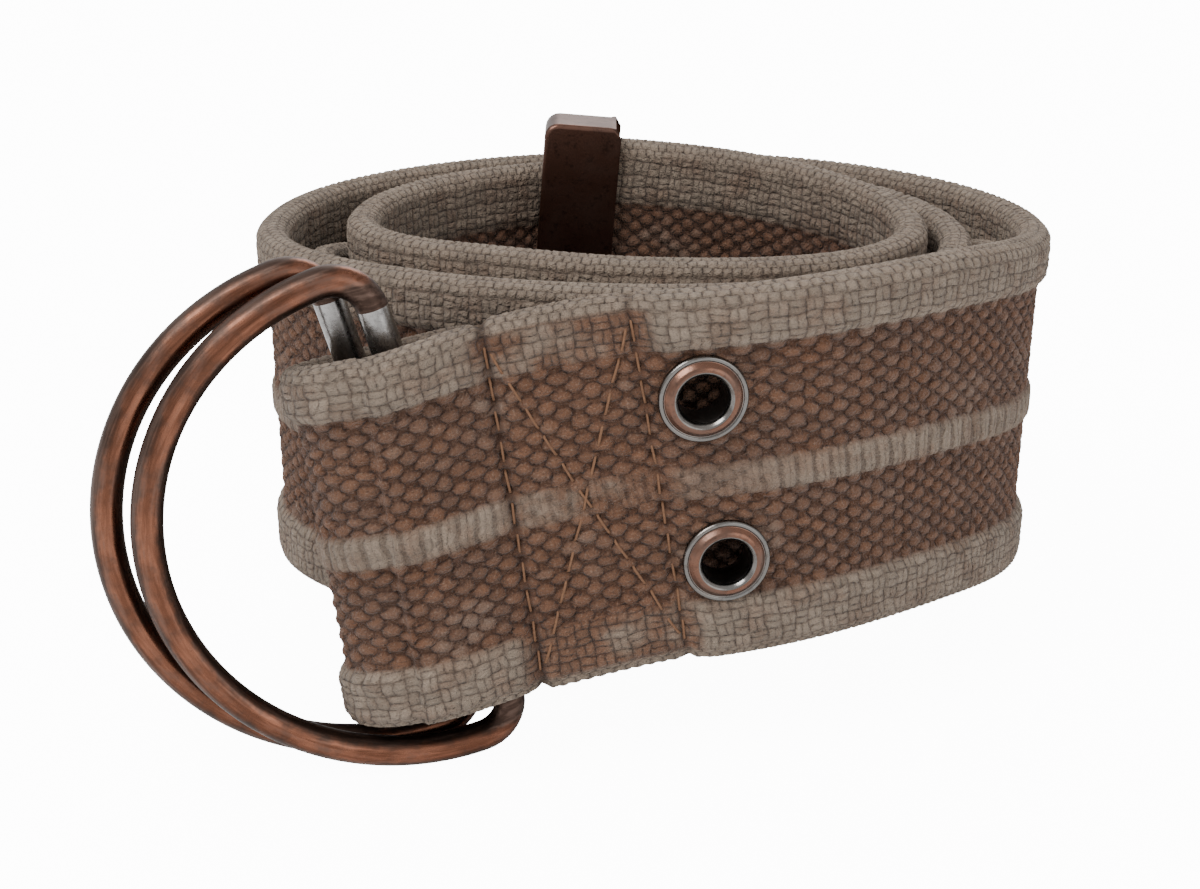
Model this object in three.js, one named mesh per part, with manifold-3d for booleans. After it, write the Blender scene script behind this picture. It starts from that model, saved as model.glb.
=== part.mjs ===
// A webbing waist belt with a double D-ring buckle, coiled up and standing on its edge.
// Millimetres, +Z up. X runs from the buckle's side to the right, Y away from the front.
// The outer end is folded back round the straight bars of two D-rings and sewn down.
// The inner end, at the back of the coil, is closed by a metal tip.

import * as THREE from 'three';
import { mergeVertices } from 'three/addons/utils/BufferGeometryUtils.js';
import Module from 'manifold-3d';

const wasm = await Module();
wasm.setup();

// Webbing
const strapWidth = 50;
const bodyThickness = 2.7;
const bandHeight = 9;
const bandSlope = 1.6;
const bandProudOutside = 1.3;
const bandProudInside = 0.5;
const edgeRounding = 1.9;
const ribHeight = 4.4;
const ribSlope = 0.9;
const ribProud = 0.6;

// Coil
const coilWidth = 109.2;
const coilDepth = 82.4;
const layerGap = 0.4;
const stationsPerQuarter = 9;

// Sewn end
const endRun = 39.4;
const endFlare = 6.2;
const loopLength = 22.6;
const stitchedLength = 18.4;
const foldBackOverrun = 0.4;
const loopSwell = 1.2;
const stitchedSqueeze = 0.25;
const bandEase = 4;
const sewnTail = 5;
const plyOverlap = 0.2;
const loopDrop = 0.26;
const wideShare = 0.82;

// D-rings
const wireDiameter = 4;
const ringInnerHeight = 61;
const ringBowShift = 4;
const ringCornerRadius = 5;
const ringSides = 8;
const barFromFold = 14.6;
const barSkew = 8.5;
const barStagger = 4.8;
const barStep = 4.42;
const barGap = 0.45;

// Eyelets
const eyeletFlange = 11.2;
const eyeletHole = 6;
const eyeletBarrelWall = 0.6;
const eyeletFlangeHeight = 1.3;
const eyeletWasherHeight = 0.8;
const eyeletSpacing = 22.4;
const eyeletRaise = 0.2;
const eyeletsPastSeam = 6.8;
const eyeletInnerReach = 1.6;
const tipEyeletsFromTip = 52;
const eyeletSides = 12;

// Tip
const tipLength = 11.4;
const tipWall = 1;
const tipOverhang = 2.4;
const tipCornerRadius = 2;
const tipBevel = 0.8;
const tipRun = 15.8;

// Gap kept between pieces that touch on the real belt
const clearance = 0.3;

const strapThickness = bodyThickness + bandProudOutside + bandProudInside;
const layerPitch = strapThickness + layerGap;
const outerFace = strapThickness / 2;
const innerFace = -strapThickness / 2;
const bodyOuterFace = outerFace - bandProudOutside;
const bodyInnerFace = innerFace + bandProudInside;
const barDepth = strapThickness / 2 + barGap + wireDiameter / 2;
const loopDepth = 2 * (barDepth + clearance) + barStep;

// The coil, one row for each bend, from the sewn end inwards. quarter counts quarter turns from
// the front, layers the turns that lie outside, slack the air left there in strap thicknesses,
// lift the height of the lower edge as a share of the strap's width, lean the turn of the webbing
// in its own plane and tilt the turn of its upper edge towards the coil, both in degrees.
const bends = [
  { quarter: -1, layers: 0, slack: 0, lift: 0.137, lean: 6, tilt: 3 },
  { quarter: -0.5, layers: 0, slack: 0, lift: 0.223, lean: 7.6, tilt: 5 },
  { quarter: 0, layers: 0, slack: 0, lift: 0.3, lean: 9.5, tilt: 1.7 },
  { quarter: 0.5, layers: 0, slack: 0.45, lift: 0.312, lean: 1.3, tilt: -0.35 },
  { quarter: 1, layers: 0, slack: 0, lift: 0.229, lean: 0, tilt: 0 },
  { quarter: 2, layers: 0, slack: 0, lift: 0.201, lean: 0, tilt: 0 },
  { quarter: 3, layers: 0, slack: 0, lift: 0.216, lean: 0, tilt: 0 },
  { quarter: 3.5, layers: 0.5, slack: 1.55, lift: 0.226, lean: 0, tilt: 0 },
  { quarter: 4, layers: 1, slack: 1.4, lift: 0.236, lean: 0, tilt: 0 },
  { quarter: 4.5, layers: 1, slack: 0.75, lift: 0.23, lean: 0, tilt: 0 },
  { quarter: 5, layers: 1, slack: 0, lift: 0.16, lean: 0, tilt: 0 },
  { quarter: 5.5, layers: 1, slack: 0, lift: 0.026, lean: 0, tilt: 0 },
  { quarter: 6.5, layers: 1, slack: 0.08, lift: 0.026, lean: 0, tilt: 0 },
  { quarter: 7, layers: 1, slack: 0.42, lift: 0.136, lean: 0, tilt: 0 },
  { quarter: 7.5, layers: 1.5, slack: 1.65, lift: 0.144, lean: 0, tilt: 0 },
  { quarter: 8, layers: 2, slack: 1.46, lift: 0.15, lean: 0, tilt: 0 },
  { quarter: 8.5, layers: 2, slack: 0.82, lift: 0.175, lean: 0, tilt: 0 },
  { quarter: 9, layers: 2, slack: 0.1, lift: 0.196, lean: 0, tilt: 0 },
  { quarter: 10, layers: 2, slack: 0.15, lift: 0.236, lean: 0, tilt: 0 },
  { quarter: 11, layers: 2, slack: 0.62, lift: 0.236, lean: 0, tilt: 0 },
  { quarter: 11.5, layers: 2.5, slack: 2.05, lift: 0.236, lean: 0, tilt: 0 },
  { quarter: 12, layers: 3, slack: 1.52, lift: 0.236, lean: 0, tilt: 0 },
  { quarter: 13, layers: 3, slack: 0.42, lift: 0.236, lean: 0, tilt: 0 },
  { quarter: 14, layers: 3, slack: 1.25, lift: 0.346, lean: 4.6, tilt: 0 },
  { quarter: 14.4, layers: 3, slack: 1.25, lift: 0.371, lean: 4.6, tilt: 0 },
];

// How each D-ring hangs: its bar's row behind the front ply, how far it is raised along the bar,
// and its swing out towards the front in degrees
const hangs = [
  { name: 'd_ring_front', row: 0, raise: 1.2, swing: 2 },
  { name: 'd_ring_rear', row: 1, raise: 2, swing: 3.4 },
];

const tipQuarter = bends.at(-1).quarter;
const lastBend = 14;

const radians = THREE.MathUtils.degToRad;

// Smooth value of one column between the rows
function follow(column, quarter) {
  const last = bends.length - 1;
  let i = 0;
  while (i < last - 1 && bends[i + 1].quarter < quarter) i += 1;
  const a = bends[i];
  const b = bends[i + 1];
  const before = bends[Math.max(i - 1, 0)];
  const after = bends[Math.min(i + 2, last)];
  const step = b.quarter - a.quarter;
  const u = THREE.MathUtils.clamp((quarter - a.quarter) / step, 0, 1);
  const slopeA = ((b[column] - before[column]) / (b.quarter - before.quarter)) * step;
  const slopeB = ((after[column] - a[column]) / (after.quarter - a.quarter)) * step;
  const u2 = u * u;
  const u3 = u2 * u;
  return (
    (2 * u3 - 3 * u2 + 1) * a[column] +
    (u3 - 2 * u2 + u) * slopeA +
    (3 * u2 - 2 * u3) * b[column] +
    (u3 - u2) * slopeB
  );
}

// Centre of the webbing on the coil, at its mid thickness
function coilPoint(quarter) {
  const inset = follow('layers', quarter) * layerPitch + follow('slack', quarter) * strapThickness;
  const z = strapWidth * (0.5 + follow('lift', quarter));
  const halfWidth = coilWidth / 2 - strapThickness / 2 - inset;
  const halfDepth = coilDepth / 2 - strapThickness / 2 - inset;
  if (quarter < 0) {
    return new THREE.Vector3(quarter * endRun, -halfDepth - endFlare * quarter ** 2, z);
  }
  if (quarter > lastBend) {
    const share = (quarter - lastBend) / (tipQuarter - lastBend);
    return new THREE.Vector3(-share * tipRun, halfDepth, z);
  }
  const angle = (quarter - 1) * (Math.PI / 2);
  return new THREE.Vector3(halfWidth * Math.cos(angle), halfDepth * Math.sin(angle), z);
}

// Local frame of the webbing: out of its outer face, and up its width
function coilFrame(quarter) {
  const step = 0.01;
  const low = Math.max(quarter - step, -1);
  const high = Math.min(quarter + step, tipQuarter);
  const along = coilPoint(high).sub(coilPoint(low)).setZ(0).normalize();
  const out = new THREE.Vector3(along.y, -along.x, 0);
  const lean = radians(follow('lean', quarter));
  const upright = new THREE.Vector3(0, 0, Math.cos(lean)).addScaledVector(along, -Math.sin(lean));
  const tilt = radians(follow('tilt', quarter));
  const up = upright.clone().multiplyScalar(Math.cos(tilt)).addScaledVector(out, -Math.sin(tilt));
  out.multiplyScalar(Math.cos(tilt)).addScaledVector(upright, Math.sin(tilt));
  return { centre: coilPoint(quarter), out, up };
}

// Outline of the webbing's section: across the width and out of the outer face
function sectionOutline(share) {
  const half = strapWidth / 2;
  const bandEdge = half - bandHeight;
  const bandOut = bodyOuterFace + bandProudOutside * share;
  const bandIn = bodyInnerFace - bandProudInside * share;
  const corner = edgeRounding * 0.3;
  const side = [
    { across: half, out: 0 },
    { across: half - corner, out: bandOut * 0.7 },
    { across: half - edgeRounding, out: bandOut },
    { across: bandEdge + bandSlope, out: bandOut },
    { across: bandEdge, out: bodyOuterFace },
    { across: ribHeight / 2 + ribSlope, out: bodyOuterFace },
    { across: ribHeight / 2, out: bodyOuterFace + ribProud * share },
  ];
  const back = [
    { across: bandEdge, out: bodyInnerFace },
    { across: bandEdge + bandSlope, out: bandIn },
    { across: half - edgeRounding, out: bandIn },
    { across: half - corner, out: bandIn * 0.7 },
  ];
  const flip = (p) => ({ across: -p.across, out: p.out });
  return [
    ...side,
    ...side.map(flip).reverse(),
    ...back.map(flip).reverse(),
    ...back,
  ];
}

// Closed mesh through a row of sections with as many points each, with flat ends or as a ring
function skin(sections, isRing = false) {
  const count = sections[0].length;
  const rows = sections.length;
  const positions = sections.flat().flatMap((p) => [p.x, p.y, p.z]);
  const index = [];
  for (let i = 0; i < (isRing ? rows : rows - 1); i += 1) {
    for (let j = 0; j < count; j += 1) {
      const a = i * count + j;
      const b = i * count + ((j + 1) % count);
      const c = ((i + 1) % rows) * count + j;
      const d = ((i + 1) % rows) * count + ((j + 1) % count);
      index.push(a, b, c, b, d, c);
    }
  }
  if (!isRing) {
    for (const [a, b, c] of flatTriangles(sections[0])) index.push(a, c, b);
    const last = (rows - 1) * count;
    for (const [a, b, c] of flatTriangles(sections[rows - 1])) {
      index.push(last + a, last + b, last + c);
    }
  }
  const geometry = new THREE.BufferGeometry();
  geometry.setAttribute('position', new THREE.Float32BufferAttribute(positions, 3));
  geometry.setIndex(index);
  return geometry;
}

// Triangles that fill a flat section, turning the way its points do
function flatTriangles(points) {
  const centre = new THREE.Vector3();
  for (const p of points) centre.addScaledVector(p, 1 / points.length);
  const arms = points.map((p) => p.clone().sub(centre));
  const normal = new THREE.Vector3();
  arms.forEach((arm, i) => normal.add(arm.clone().cross(arms[(i + 1) % arms.length])));
  const uAxis = arms[0].clone().normalize();
  const vAxis = normal.normalize().cross(uAxis);
  const flat = arms.map((arm) => new THREE.Vector2(arm.dot(uAxis), arm.dot(vAxis)));
  return THREE.ShapeUtils.triangulateShape(flat, []);
}

// Solids for joining and cutting, and back again
function toSolid(geometry) {
  const bare = geometry.clone();
  bare.deleteAttribute('normal');
  bare.deleteAttribute('uv');
  const merged = mergeVertices(bare, 1e-5);
  const mesh = new wasm.Mesh({
    numProp: 3,
    vertProperties: new Float32Array(merged.attributes.position.array),
    triVerts: new Uint32Array(merged.index.array),
  });
  return new wasm.Manifold(mesh);
}

function toGeometry(solid) {
  const { vertProperties, triVerts } = solid.getMesh();
  const geometry = new THREE.BufferGeometry();
  geometry.setAttribute('position', new THREE.BufferAttribute(vertProperties, 3));
  geometry.setIndex(new THREE.BufferAttribute(triVerts, 1));
  geometry.computeVertexNormals();
  return geometry;
}

// Quarter that lies a given length of webbing away from another
function quarterAlong(start, length) {
  const step = 0.002;
  let quarter = start;
  let walked = 0;
  while (walked < Math.abs(length)) {
    const next = quarter + step * Math.sign(length);
    walked += coilPoint(next).distanceTo(coilPoint(quarter));
    quarter = next;
  }
  return quarter;
}

const fromFold = (length) => quarterAlong(-1, length);

// Share of the bands' height left at a distance from the fold
function bandShare(distance) {
  const end = loopLength + stitchedLength;
  const fallen = THREE.MathUtils.smoothstep(distance, loopLength - bandEase, loopLength);
  const risen = THREE.MathUtils.smoothstep(distance, end, end + bandEase);
  return 1 - (1 - stitchedSqueeze) * (fallen - risen);
}

// One section of the webbing at a place and a facing, at its full width
function strapSection(centre, up, out, share) {
  const points = sectionOutline(share);
  return points.map((p) =>
    centre.clone().addScaledVector(up, p.across).addScaledVector(out, p.out),
  );
}

// Front ply of the sewn end, which swells a little over the bars
function frontPly(distance) {
  const frame = coilFrame(fromFold(distance));
  const share = THREE.MathUtils.clamp(distance / loopLength, 0, 1);
  const swell = loopSwell * Math.sin(Math.PI * share) ** 2;
  frame.centre.addScaledVector(frame.out, swell);
  return frame;
}

// Moves a place into the loop, where the webbing also hangs lower the deeper it lies
function sink(place, { up, out }, depth) {
  return place.addScaledVector(out, -depth).addScaledVector(up, -loopDrop * depth);
}

// Ply that is folded back behind the front one, from its cut end round to the front
function foldSections() {
  const radius = loopDepth / 2;
  const sections = [];
  const plyStep = bodyThickness - plyOverlap;
  const wideUntil = wideShare * loopLength;
  const cutEnd = loopLength + stitchedLength + foldBackOverrun;
  const backSteps = 16;
  for (let i = 0; i < backSteps; i += 1) {
    const distance = THREE.MathUtils.lerp(cutEnd, radius, i / backSteps);
    const frame = coilFrame(fromFold(distance));
    const closing = THREE.MathUtils.smoothstep(distance, wideUntil, loopLength);
    const depth = THREE.MathUtils.lerp(loopDepth, plyStep, closing);
    sink(frame.centre, frame, depth);
    const pressed = THREE.MathUtils.smoothstep(distance, radius, 2 * radius);
    const share = THREE.MathUtils.lerp(1, stitchedSqueeze, pressed);
    sections.push(strapSection(frame.centre, frame.up, frame.out.clone().negate(), share));
  }
  const { centre, up, out } = coilFrame(fromFold(radius));
  const along = up.clone().cross(out).normalize();
  const foldSteps = 8;
  for (let i = 0; i < foldSteps; i += 1) {
    const angle = Math.PI * (1 - i / foldSteps);
    const facing = out.clone().multiplyScalar(Math.cos(angle));
    facing.addScaledVector(along, -Math.sin(angle));
    const place = sink(centre.clone(), { up, out }, radius).addScaledVector(facing, radius);
    place.addScaledVector(up, loopDrop * radius * Math.cos(angle));
    sections.push(strapSection(place, up, facing, 1));
  }
  const front = frontPly(radius);
  sections.push(strapSection(front.centre, front.up, front.out, 1));
  return sections;
}

// Front ply and the coiled rest of the webbing, out to the end inside the metal tip
function coilSections() {
  const radius = loopDepth / 2;
  const sections = [];
  const sewnSteps = 15;
  const sewnEnd = loopLength + stitchedLength + sewnTail;
  for (let i = 0; i < sewnSteps; i += 1) {
    const distance = THREE.MathUtils.lerp(radius, sewnEnd, i / sewnSteps);
    const frame = frontPly(distance);
    sections.push(strapSection(frame.centre, frame.up, frame.out, bandShare(distance)));
  }
  const start = fromFold(sewnEnd);
  const steps = Math.round((lastBend - start) * stationsPerQuarter);
  for (let i = 0; i <= steps; i += 1) {
    const quarter = THREE.MathUtils.lerp(start, lastBend, i / steps);
    const frame = coilFrame(quarter);
    const distance = i === 0 ? sewnEnd : Infinity;
    sections.push(strapSection(frame.centre, frame.up, frame.out, bandShare(distance)));
  }
  const end = coilFrame(tipQuarter);
  sections.push(strapSection(end.centre, end.up, end.out, 1));
  return sections;
}

// Where an eyelet sits: its middle and its axis, which points out of the webbing
function eyeletSeat(quarter, side, raise) {
  const { centre, up, out } = coilFrame(quarter);
  const across = (side * eyeletSpacing) / 2 + raise;
  const place = centre.clone().addScaledVector(up, across);
  return { place, out };
}

// Round shape turned about the axis of an eyelet's seat
function turnedAt(seat, geometry) {
  const turn = new THREE.Quaternion().setFromUnitVectors(new THREE.Vector3(0, 1, 0), seat.out);
  return geometry.applyQuaternion(turn).translate(seat.place.x, seat.place.y, seat.place.z);
}

function eyeletGeometry(seat) {
  const hole = eyeletHole / 2;
  const barrel = hole + eyeletBarrelWall;
  const rim = eyeletFlange / 2;
  const front = bodyOuterFace + clearance;
  const back = bodyInnerFace - clearance;
  const crown = (hole + rim) / 2;
  const profile = [
    [hole, back - eyeletWasherHeight * 0.6],
    [barrel, back - eyeletWasherHeight],
    [rim * 0.9, back - eyeletWasherHeight],
    [rim, back - eyeletWasherHeight * 0.6],
    [rim, back],
    [barrel, back],
    [barrel, front],
    [rim, front],
    [rim, front + eyeletFlangeHeight * 0.3],
    [(rim + crown) / 2, front + eyeletFlangeHeight * 0.9],
    [crown, front + eyeletFlangeHeight],
    [(hole + crown) / 2, front + eyeletFlangeHeight * 0.85],
    [hole, front + eyeletFlangeHeight * 0.4],
  ];
  const points = profile.map(([radius, height]) => new THREE.Vector2(radius, height));
  points.push(points[0].clone());
  return turnedAt(seat, new THREE.LatheGeometry(points, eyeletSides));
}

// Hole and seats pressed into the webbing for one eyelet, none reaching the next layer
function eyeletCuts(seat) {
  const bore = eyeletHole / 2 + eyeletBarrelWall + clearance;
  const rim = eyeletFlange / 2 + clearance;
  const overrun = layerGap / 4;
  const cylinder = (radius, low, high) => {
    const geometry = new THREE.CylinderGeometry(radius, radius, high - low, eyeletSides);
    return toSolid(turnedAt(seat, geometry.translate(0, (low + high) / 2, 0)));
  };
  return [
    cylinder(bore, innerFace - eyeletInnerReach, outerFace + overrun),
    cylinder(rim, bodyOuterFace, outerFace + overrun),
    cylinder(rim, innerFace - eyeletInnerReach, bodyInnerFace),
  ];
}

// The webbing with its fold and its eyelet holes
function strapGeometry(seats) {
  let solid = toSolid(skin(foldSections())).add(toSolid(skin(coilSections())));
  for (const seat of seats) {
    for (const cut of eyeletCuts(seat)) solid = solid.subtract(cut);
  }
  return toGeometry(solid);
}

// Where the bar of a D-ring lies inside the fold, and which way its bow points
function ringSeat({ row, raise, swing }) {
  const { centre, up, out } = coilFrame(fromFold(barFromFold));
  const along = up.clone().cross(out).normalize();
  const skew = radians(barSkew);
  const bar = up.clone().multiplyScalar(Math.cos(skew)).addScaledVector(along, -Math.sin(skew));
  const away = up.clone().multiplyScalar(-Math.sin(skew)).addScaledVector(along, -Math.cos(skew));
  const place = centre.clone().addScaledVector(out, -barDepth - row * barStep);
  place.addScaledVector(along, -row * barStagger).addScaledVector(bar, raise);
  const turn = radians(swing);
  const bow = away.clone().multiplyScalar(Math.cos(turn)).addScaledVector(out, Math.sin(turn));
  return { place, bar, bow };
}

// Centre line of a D-ring in its own plane: x out along the bow, y up the bar
function ringOutline() {
  const bowRadius = (ringInnerHeight + wireDiameter) / 2;
  const corner = ringCornerRadius;
  const inset = corner - ringBowShift;
  const barEnd = Math.sqrt((bowRadius - corner) ** 2 - inset ** 2);
  const turn = Math.atan2(barEnd, inset);
  const arc = (x, y, radius, from, to) =>
    new THREE.EllipseCurve(x, y, radius, radius, from, to, true);
  const lowEnd = new THREE.Vector2(0, -barEnd);
  const highEnd = new THREE.Vector2(0, barEnd);
  const stretches = [
    { curve: new THREE.LineCurve(lowEnd, highEnd), steps: 1 },
    { curve: arc(corner, barEnd, corner, Math.PI, turn), steps: 5 },
    { curve: arc(ringBowShift, 0, bowRadius, turn, -turn), steps: 24 },
    { curve: arc(corner, -barEnd, corner, -turn, -Math.PI), steps: 5 },
  ];
  return stretches.flatMap(({ curve, steps }) => curve.getPoints(steps).slice(0, -1));
}

function ringGeometry({ place, bar, bow }) {
  const face = bow.clone().cross(bar).normalize();
  const outline = ringOutline();
  const count = outline.length;
  const toSpace = (x, y) => place.clone().addScaledVector(bow, x).addScaledVector(bar, y);
  const sections = outline.map((p, i) => {
    const next = outline[(i + 1) % count];
    const before = outline[(i + count - 1) % count];
    const inTurn = p.clone().sub(before).normalize();
    const outTurn = next.clone().sub(p).normalize();
    const along = inTurn.add(outTurn).normalize();
    const side = bow.clone().multiplyScalar(-along.y).addScaledVector(bar, along.x);
    const section = [];
    for (let j = 0; j < ringSides; j += 1) {
      const angle = (2 * Math.PI * j) / ringSides;
      const point = toSpace(p.x, p.y).addScaledVector(side, (wireDiameter / 2) * Math.cos(angle));
      section.push(point.addScaledVector(face, (wireDiameter / 2) * Math.sin(angle)));
    }
    return section;
  });
  return skin(sections, true);
}

// Metal tip: a rounded box, open towards the webbing that it caps
function tipGeometry() {
  const { centre, up, out } = coilFrame(tipQuarter);
  const along = up.clone().cross(out).normalize();
  const thickness = strapThickness + 2 * (clearance + tipWall);
  const height = strapWidth + 2 * tipOverhang;
  const bevel = tipBevel;
  const shape = new THREE.Shape();
  const x0 = bevel;
  const x1 = tipLength - bevel;
  const y1 = height / 2 - bevel;
  const r = tipCornerRadius;
  shape.moveTo(x0, -y1 + r);
  shape.quadraticCurveTo(x0, -y1, x0 + r, -y1);
  shape.lineTo(x1 - r, -y1);
  shape.quadraticCurveTo(x1, -y1, x1, -y1 + r);
  shape.lineTo(x1, y1 - r);
  shape.quadraticCurveTo(x1, y1, x1 - r, y1);
  shape.lineTo(x0 + r, y1);
  shape.quadraticCurveTo(x0, y1, x0, y1 - r);
  const block = new THREE.ExtrudeGeometry(shape, {
    depth: thickness - 2 * bevel,
    bevelThickness: bevel,
    bevelSize: bevel,
    bevelSegments: 2,
    curveSegments: 4,
  });
  block.translate(0, 0, bevel - thickness / 2);
  const slotWidth = strapWidth + 2 * clearance;
  const slot = new THREE.BoxGeometry(2 * tipLength, slotWidth, strapThickness + 2 * clearance);
  slot.translate(-tipWall, 0, 0);
  const solid = toSolid(block).subtract(toSolid(slot));
  const basis = new THREE.Matrix4().makeBasis(along, up, out);
  const start = centre.clone().addScaledVector(along, tipWall + clearance - tipLength);
  basis.setPosition(start);
  return toGeometry(solid).applyMatrix4(basis);
}

// Finishes
const webbing = new THREE.MeshStandardMaterial({ color: 0x8a6a55, roughness: 0.95, metalness: 0 });
const copper = new THREE.MeshStandardMaterial({ color: 0x6e4335, roughness: 0.4, metalness: 0.9 });
const nickel = new THREE.MeshStandardMaterial({ color: 0xa09a92, roughness: 0.3, metalness: 1 });

function piece(name, geometry, material) {
  const mesh = new THREE.Mesh(geometry, material);
  mesh.name = name;
  return mesh;
}

const buckleQuarter = fromFold(loopLength + stitchedLength + eyeletsPastSeam);
const tipEyeletQuarter = quarterAlong(tipQuarter, -tipEyeletsFromTip);
const eyelets = [
  { name: 'eyelet_buckle_upper', seat: eyeletSeat(buckleQuarter, 1, eyeletRaise) },
  { name: 'eyelet_buckle_lower', seat: eyeletSeat(buckleQuarter, -1, eyeletRaise) },
  { name: 'eyelet_tip_upper', seat: eyeletSeat(tipEyeletQuarter, 1, 0) },
  { name: 'eyelet_tip_lower', seat: eyeletSeat(tipEyeletQuarter, -1, 0) },
];

const belt = new THREE.Group();
belt.add(piece('strap', strapGeometry(eyelets.map(({ seat }) => seat)), webbing));
for (const { name, seat } of eyelets) belt.add(piece(name, eyeletGeometry(seat), nickel));
belt.add(piece('tip_cap', tipGeometry(), copper));
for (const hang of hangs) belt.add(piece(hang.name, ringGeometry(ringSeat(hang)), copper));

// The belt stands on z = 0, with the middle of its outline at x = 0, y = 0
const box = new THREE.Box3().setFromObject(belt);
const middle = box.getCenter(new THREE.Vector3());
belt.position.set(-middle.x, -middle.y, -box.min.z);

export default belt;
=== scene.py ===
"""Canvas webbing belt, coiled on its edge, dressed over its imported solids."""

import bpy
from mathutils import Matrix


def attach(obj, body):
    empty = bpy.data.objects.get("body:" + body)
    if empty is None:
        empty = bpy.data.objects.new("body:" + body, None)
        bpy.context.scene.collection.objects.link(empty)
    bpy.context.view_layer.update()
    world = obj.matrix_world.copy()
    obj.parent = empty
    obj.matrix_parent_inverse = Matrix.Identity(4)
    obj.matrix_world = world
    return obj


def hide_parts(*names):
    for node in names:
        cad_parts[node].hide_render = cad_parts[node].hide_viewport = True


bl_info = {
    "name": "Webbing Belt",
    "version": (1, 0, 0),
    "blender": (4, 5, 0),
    "location": "View3D > Sidebar > Belt",
    "description": "Builds a coiled canvas belt with D-rings, eyelets and a metal tip",
    "category": "Object",
}

import math

import bmesh
import bpy
import numpy as np
from mathutils import Matrix, Vector

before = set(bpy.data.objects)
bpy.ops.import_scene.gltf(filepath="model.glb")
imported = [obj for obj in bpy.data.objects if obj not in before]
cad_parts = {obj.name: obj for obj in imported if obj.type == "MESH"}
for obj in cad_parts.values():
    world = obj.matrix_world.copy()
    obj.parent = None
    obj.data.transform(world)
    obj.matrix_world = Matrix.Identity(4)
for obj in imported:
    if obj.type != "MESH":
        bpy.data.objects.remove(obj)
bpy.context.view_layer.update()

MM = 0.001

# Webbing, as the solids have it
STRAP_WIDTH = 50.0
BODY_THICKNESS = 2.7
BAND_HEIGHT = 9.0
BAND_SLOPE = 1.6
BAND_PROUD_OUTSIDE = 1.3
BAND_PROUD_INSIDE = 0.5
EDGE_ROUNDING = 1.9
RIB_HEIGHT = 4.4
RIB_SLOPE = 0.9
RIB_PROUD = 0.6
STRAP_THICKNESS = BODY_THICKNESS + BAND_PROUD_OUTSIDE + BAND_PROUD_INSIDE
OUTER_FACE = STRAP_THICKNESS / 2
BODY_OUTER_FACE = OUTER_FACE - BAND_PROUD_OUTSIDE
BODY_INNER_FACE = BAND_PROUD_INSIDE - OUTER_FACE

# Coil and sewn end
COIL_WIDTH = 109.2
COIL_DEPTH = 82.4
LAYER_GAP = 0.4
END_RUN = 39.4
END_FLARE = 6.2
LOOP_LENGTH = 22.6
STITCHED_LENGTH = 18.4
FOLD_BACK_OVERRUN = 0.4
LOOP_SWELL = 1.2
STITCHED_SQUEEZE = 0.25
PLY_OVERLAP = 0.2
LOOP_DROP = 0.26
WIDE_SHARE = 0.82
TIP_RUN = 15.8
CLEARANCE = 0.3
LAYER_PITCH = STRAP_THICKNESS + LAYER_GAP
LAST_BEND = 14.0

# D-rings
WIRE = 4.0
RING_INNER_HEIGHT = 61.0
RING_BOW_SHIFT = 4.0
RING_CORNER = 5.0
BAR_FROM_FOLD = 14.6
BAR_SKEW = 8.5
BAR_STAGGER = 4.8
BAR_STEP = 4.42
BAR_GAP = 0.45
BAR_DEPTH = STRAP_THICKNESS / 2 + BAR_GAP + WIRE / 2
LOOP_DEPTH = 2 * (BAR_DEPTH + CLEARANCE) + BAR_STEP

# Eyelets
EYELET_FLANGE = 11.2
EYELET_HOLE = 6.0
EYELET_BARREL_WALL = 0.6
EYELET_FLANGE_HEIGHT = 1.3
EYELET_WASHER_HEIGHT = 0.8
EYELET_SPACING = 22.4
EYELET_RAISE = 0.2
EYELETS_PAST_SEAM = 6.8
TIP_EYELETS_FROM_TIP = 52.0

# Tip
TIP_LENGTH = 11.4
TIP_WALL = 1.0
TIP_OVERHANG = 2.4

# Where the coil's centre stands on the floor
COIL_PLACE = np.array([7.6246796, 3.2511330, -0.1058390])

# One row for each bend: quarter turns from the front, layers outside, slack, lift, lean, tilt
BENDS = np.array(
    [
        (-1, 0, 0, 0.137, 6, 3),
        (-0.5, 0, 0, 0.223, 7.6, 5),
        (0, 0, 0, 0.3, 9.5, 1.7),
        (0.5, 0, 0.45, 0.312, 1.3, -0.35),
        (1, 0, 0, 0.229, 0, 0),
        (2, 0, 0, 0.201, 0, 0),
        (3, 0, 0, 0.216, 0, 0),
        (3.5, 0.5, 1.55, 0.226, 0, 0),
        (4, 1, 1.4, 0.236, 0, 0),
        (4.5, 1, 0.75, 0.23, 0, 0),
        (5, 1, 0, 0.16, 0, 0),
        (5.5, 1, 0, 0.026, 0, 0),
        (6.5, 1, 0.08, 0.026, 0, 0),
        (7, 1, 0.42, 0.136, 0, 0),
        (7.5, 1.5, 1.65, 0.144, 0, 0),
        (8, 2, 1.46, 0.15, 0, 0),
        (8.5, 2, 0.82, 0.175, 0, 0),
        (9, 2, 0.1, 0.196, 0, 0),
        (10, 2, 0.15, 0.236, 0, 0),
        (11, 2, 0.62, 0.236, 0, 0),
        (11.5, 2.5, 2.05, 0.236, 0, 0),
        (12, 3, 1.52, 0.236, 0, 0),
        (13, 3, 0.42, 0.236, 0, 0),
        (14, 3, 1.25, 0.346, 4.6, 0),
        (14.4, 3, 1.25, 0.371, 4.6, 0),
    ]
)
LAYERS, SLACK, LIFT, LEAN, TILT = 1, 2, 3, 4, 5
TIP_QUARTER = BENDS[-1, 0]

# Stretches of the webbing, each its own piece: name, first and last quarter, steps in millimetres
STRETCHES = (
    ("webbing_front", None, 1.0, 0.42, 0.46),
    ("webbing_right", 1.0, 2.7, 0.5, 0.52),
    ("webbing_left", 2.7, 6.0, 0.62, 0.52),
    ("webbing_middle", 6.0, 10.2, 0.7, 0.52),
    ("webbing_inner", 10.2, None, 0.5, 0.52),
)

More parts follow.
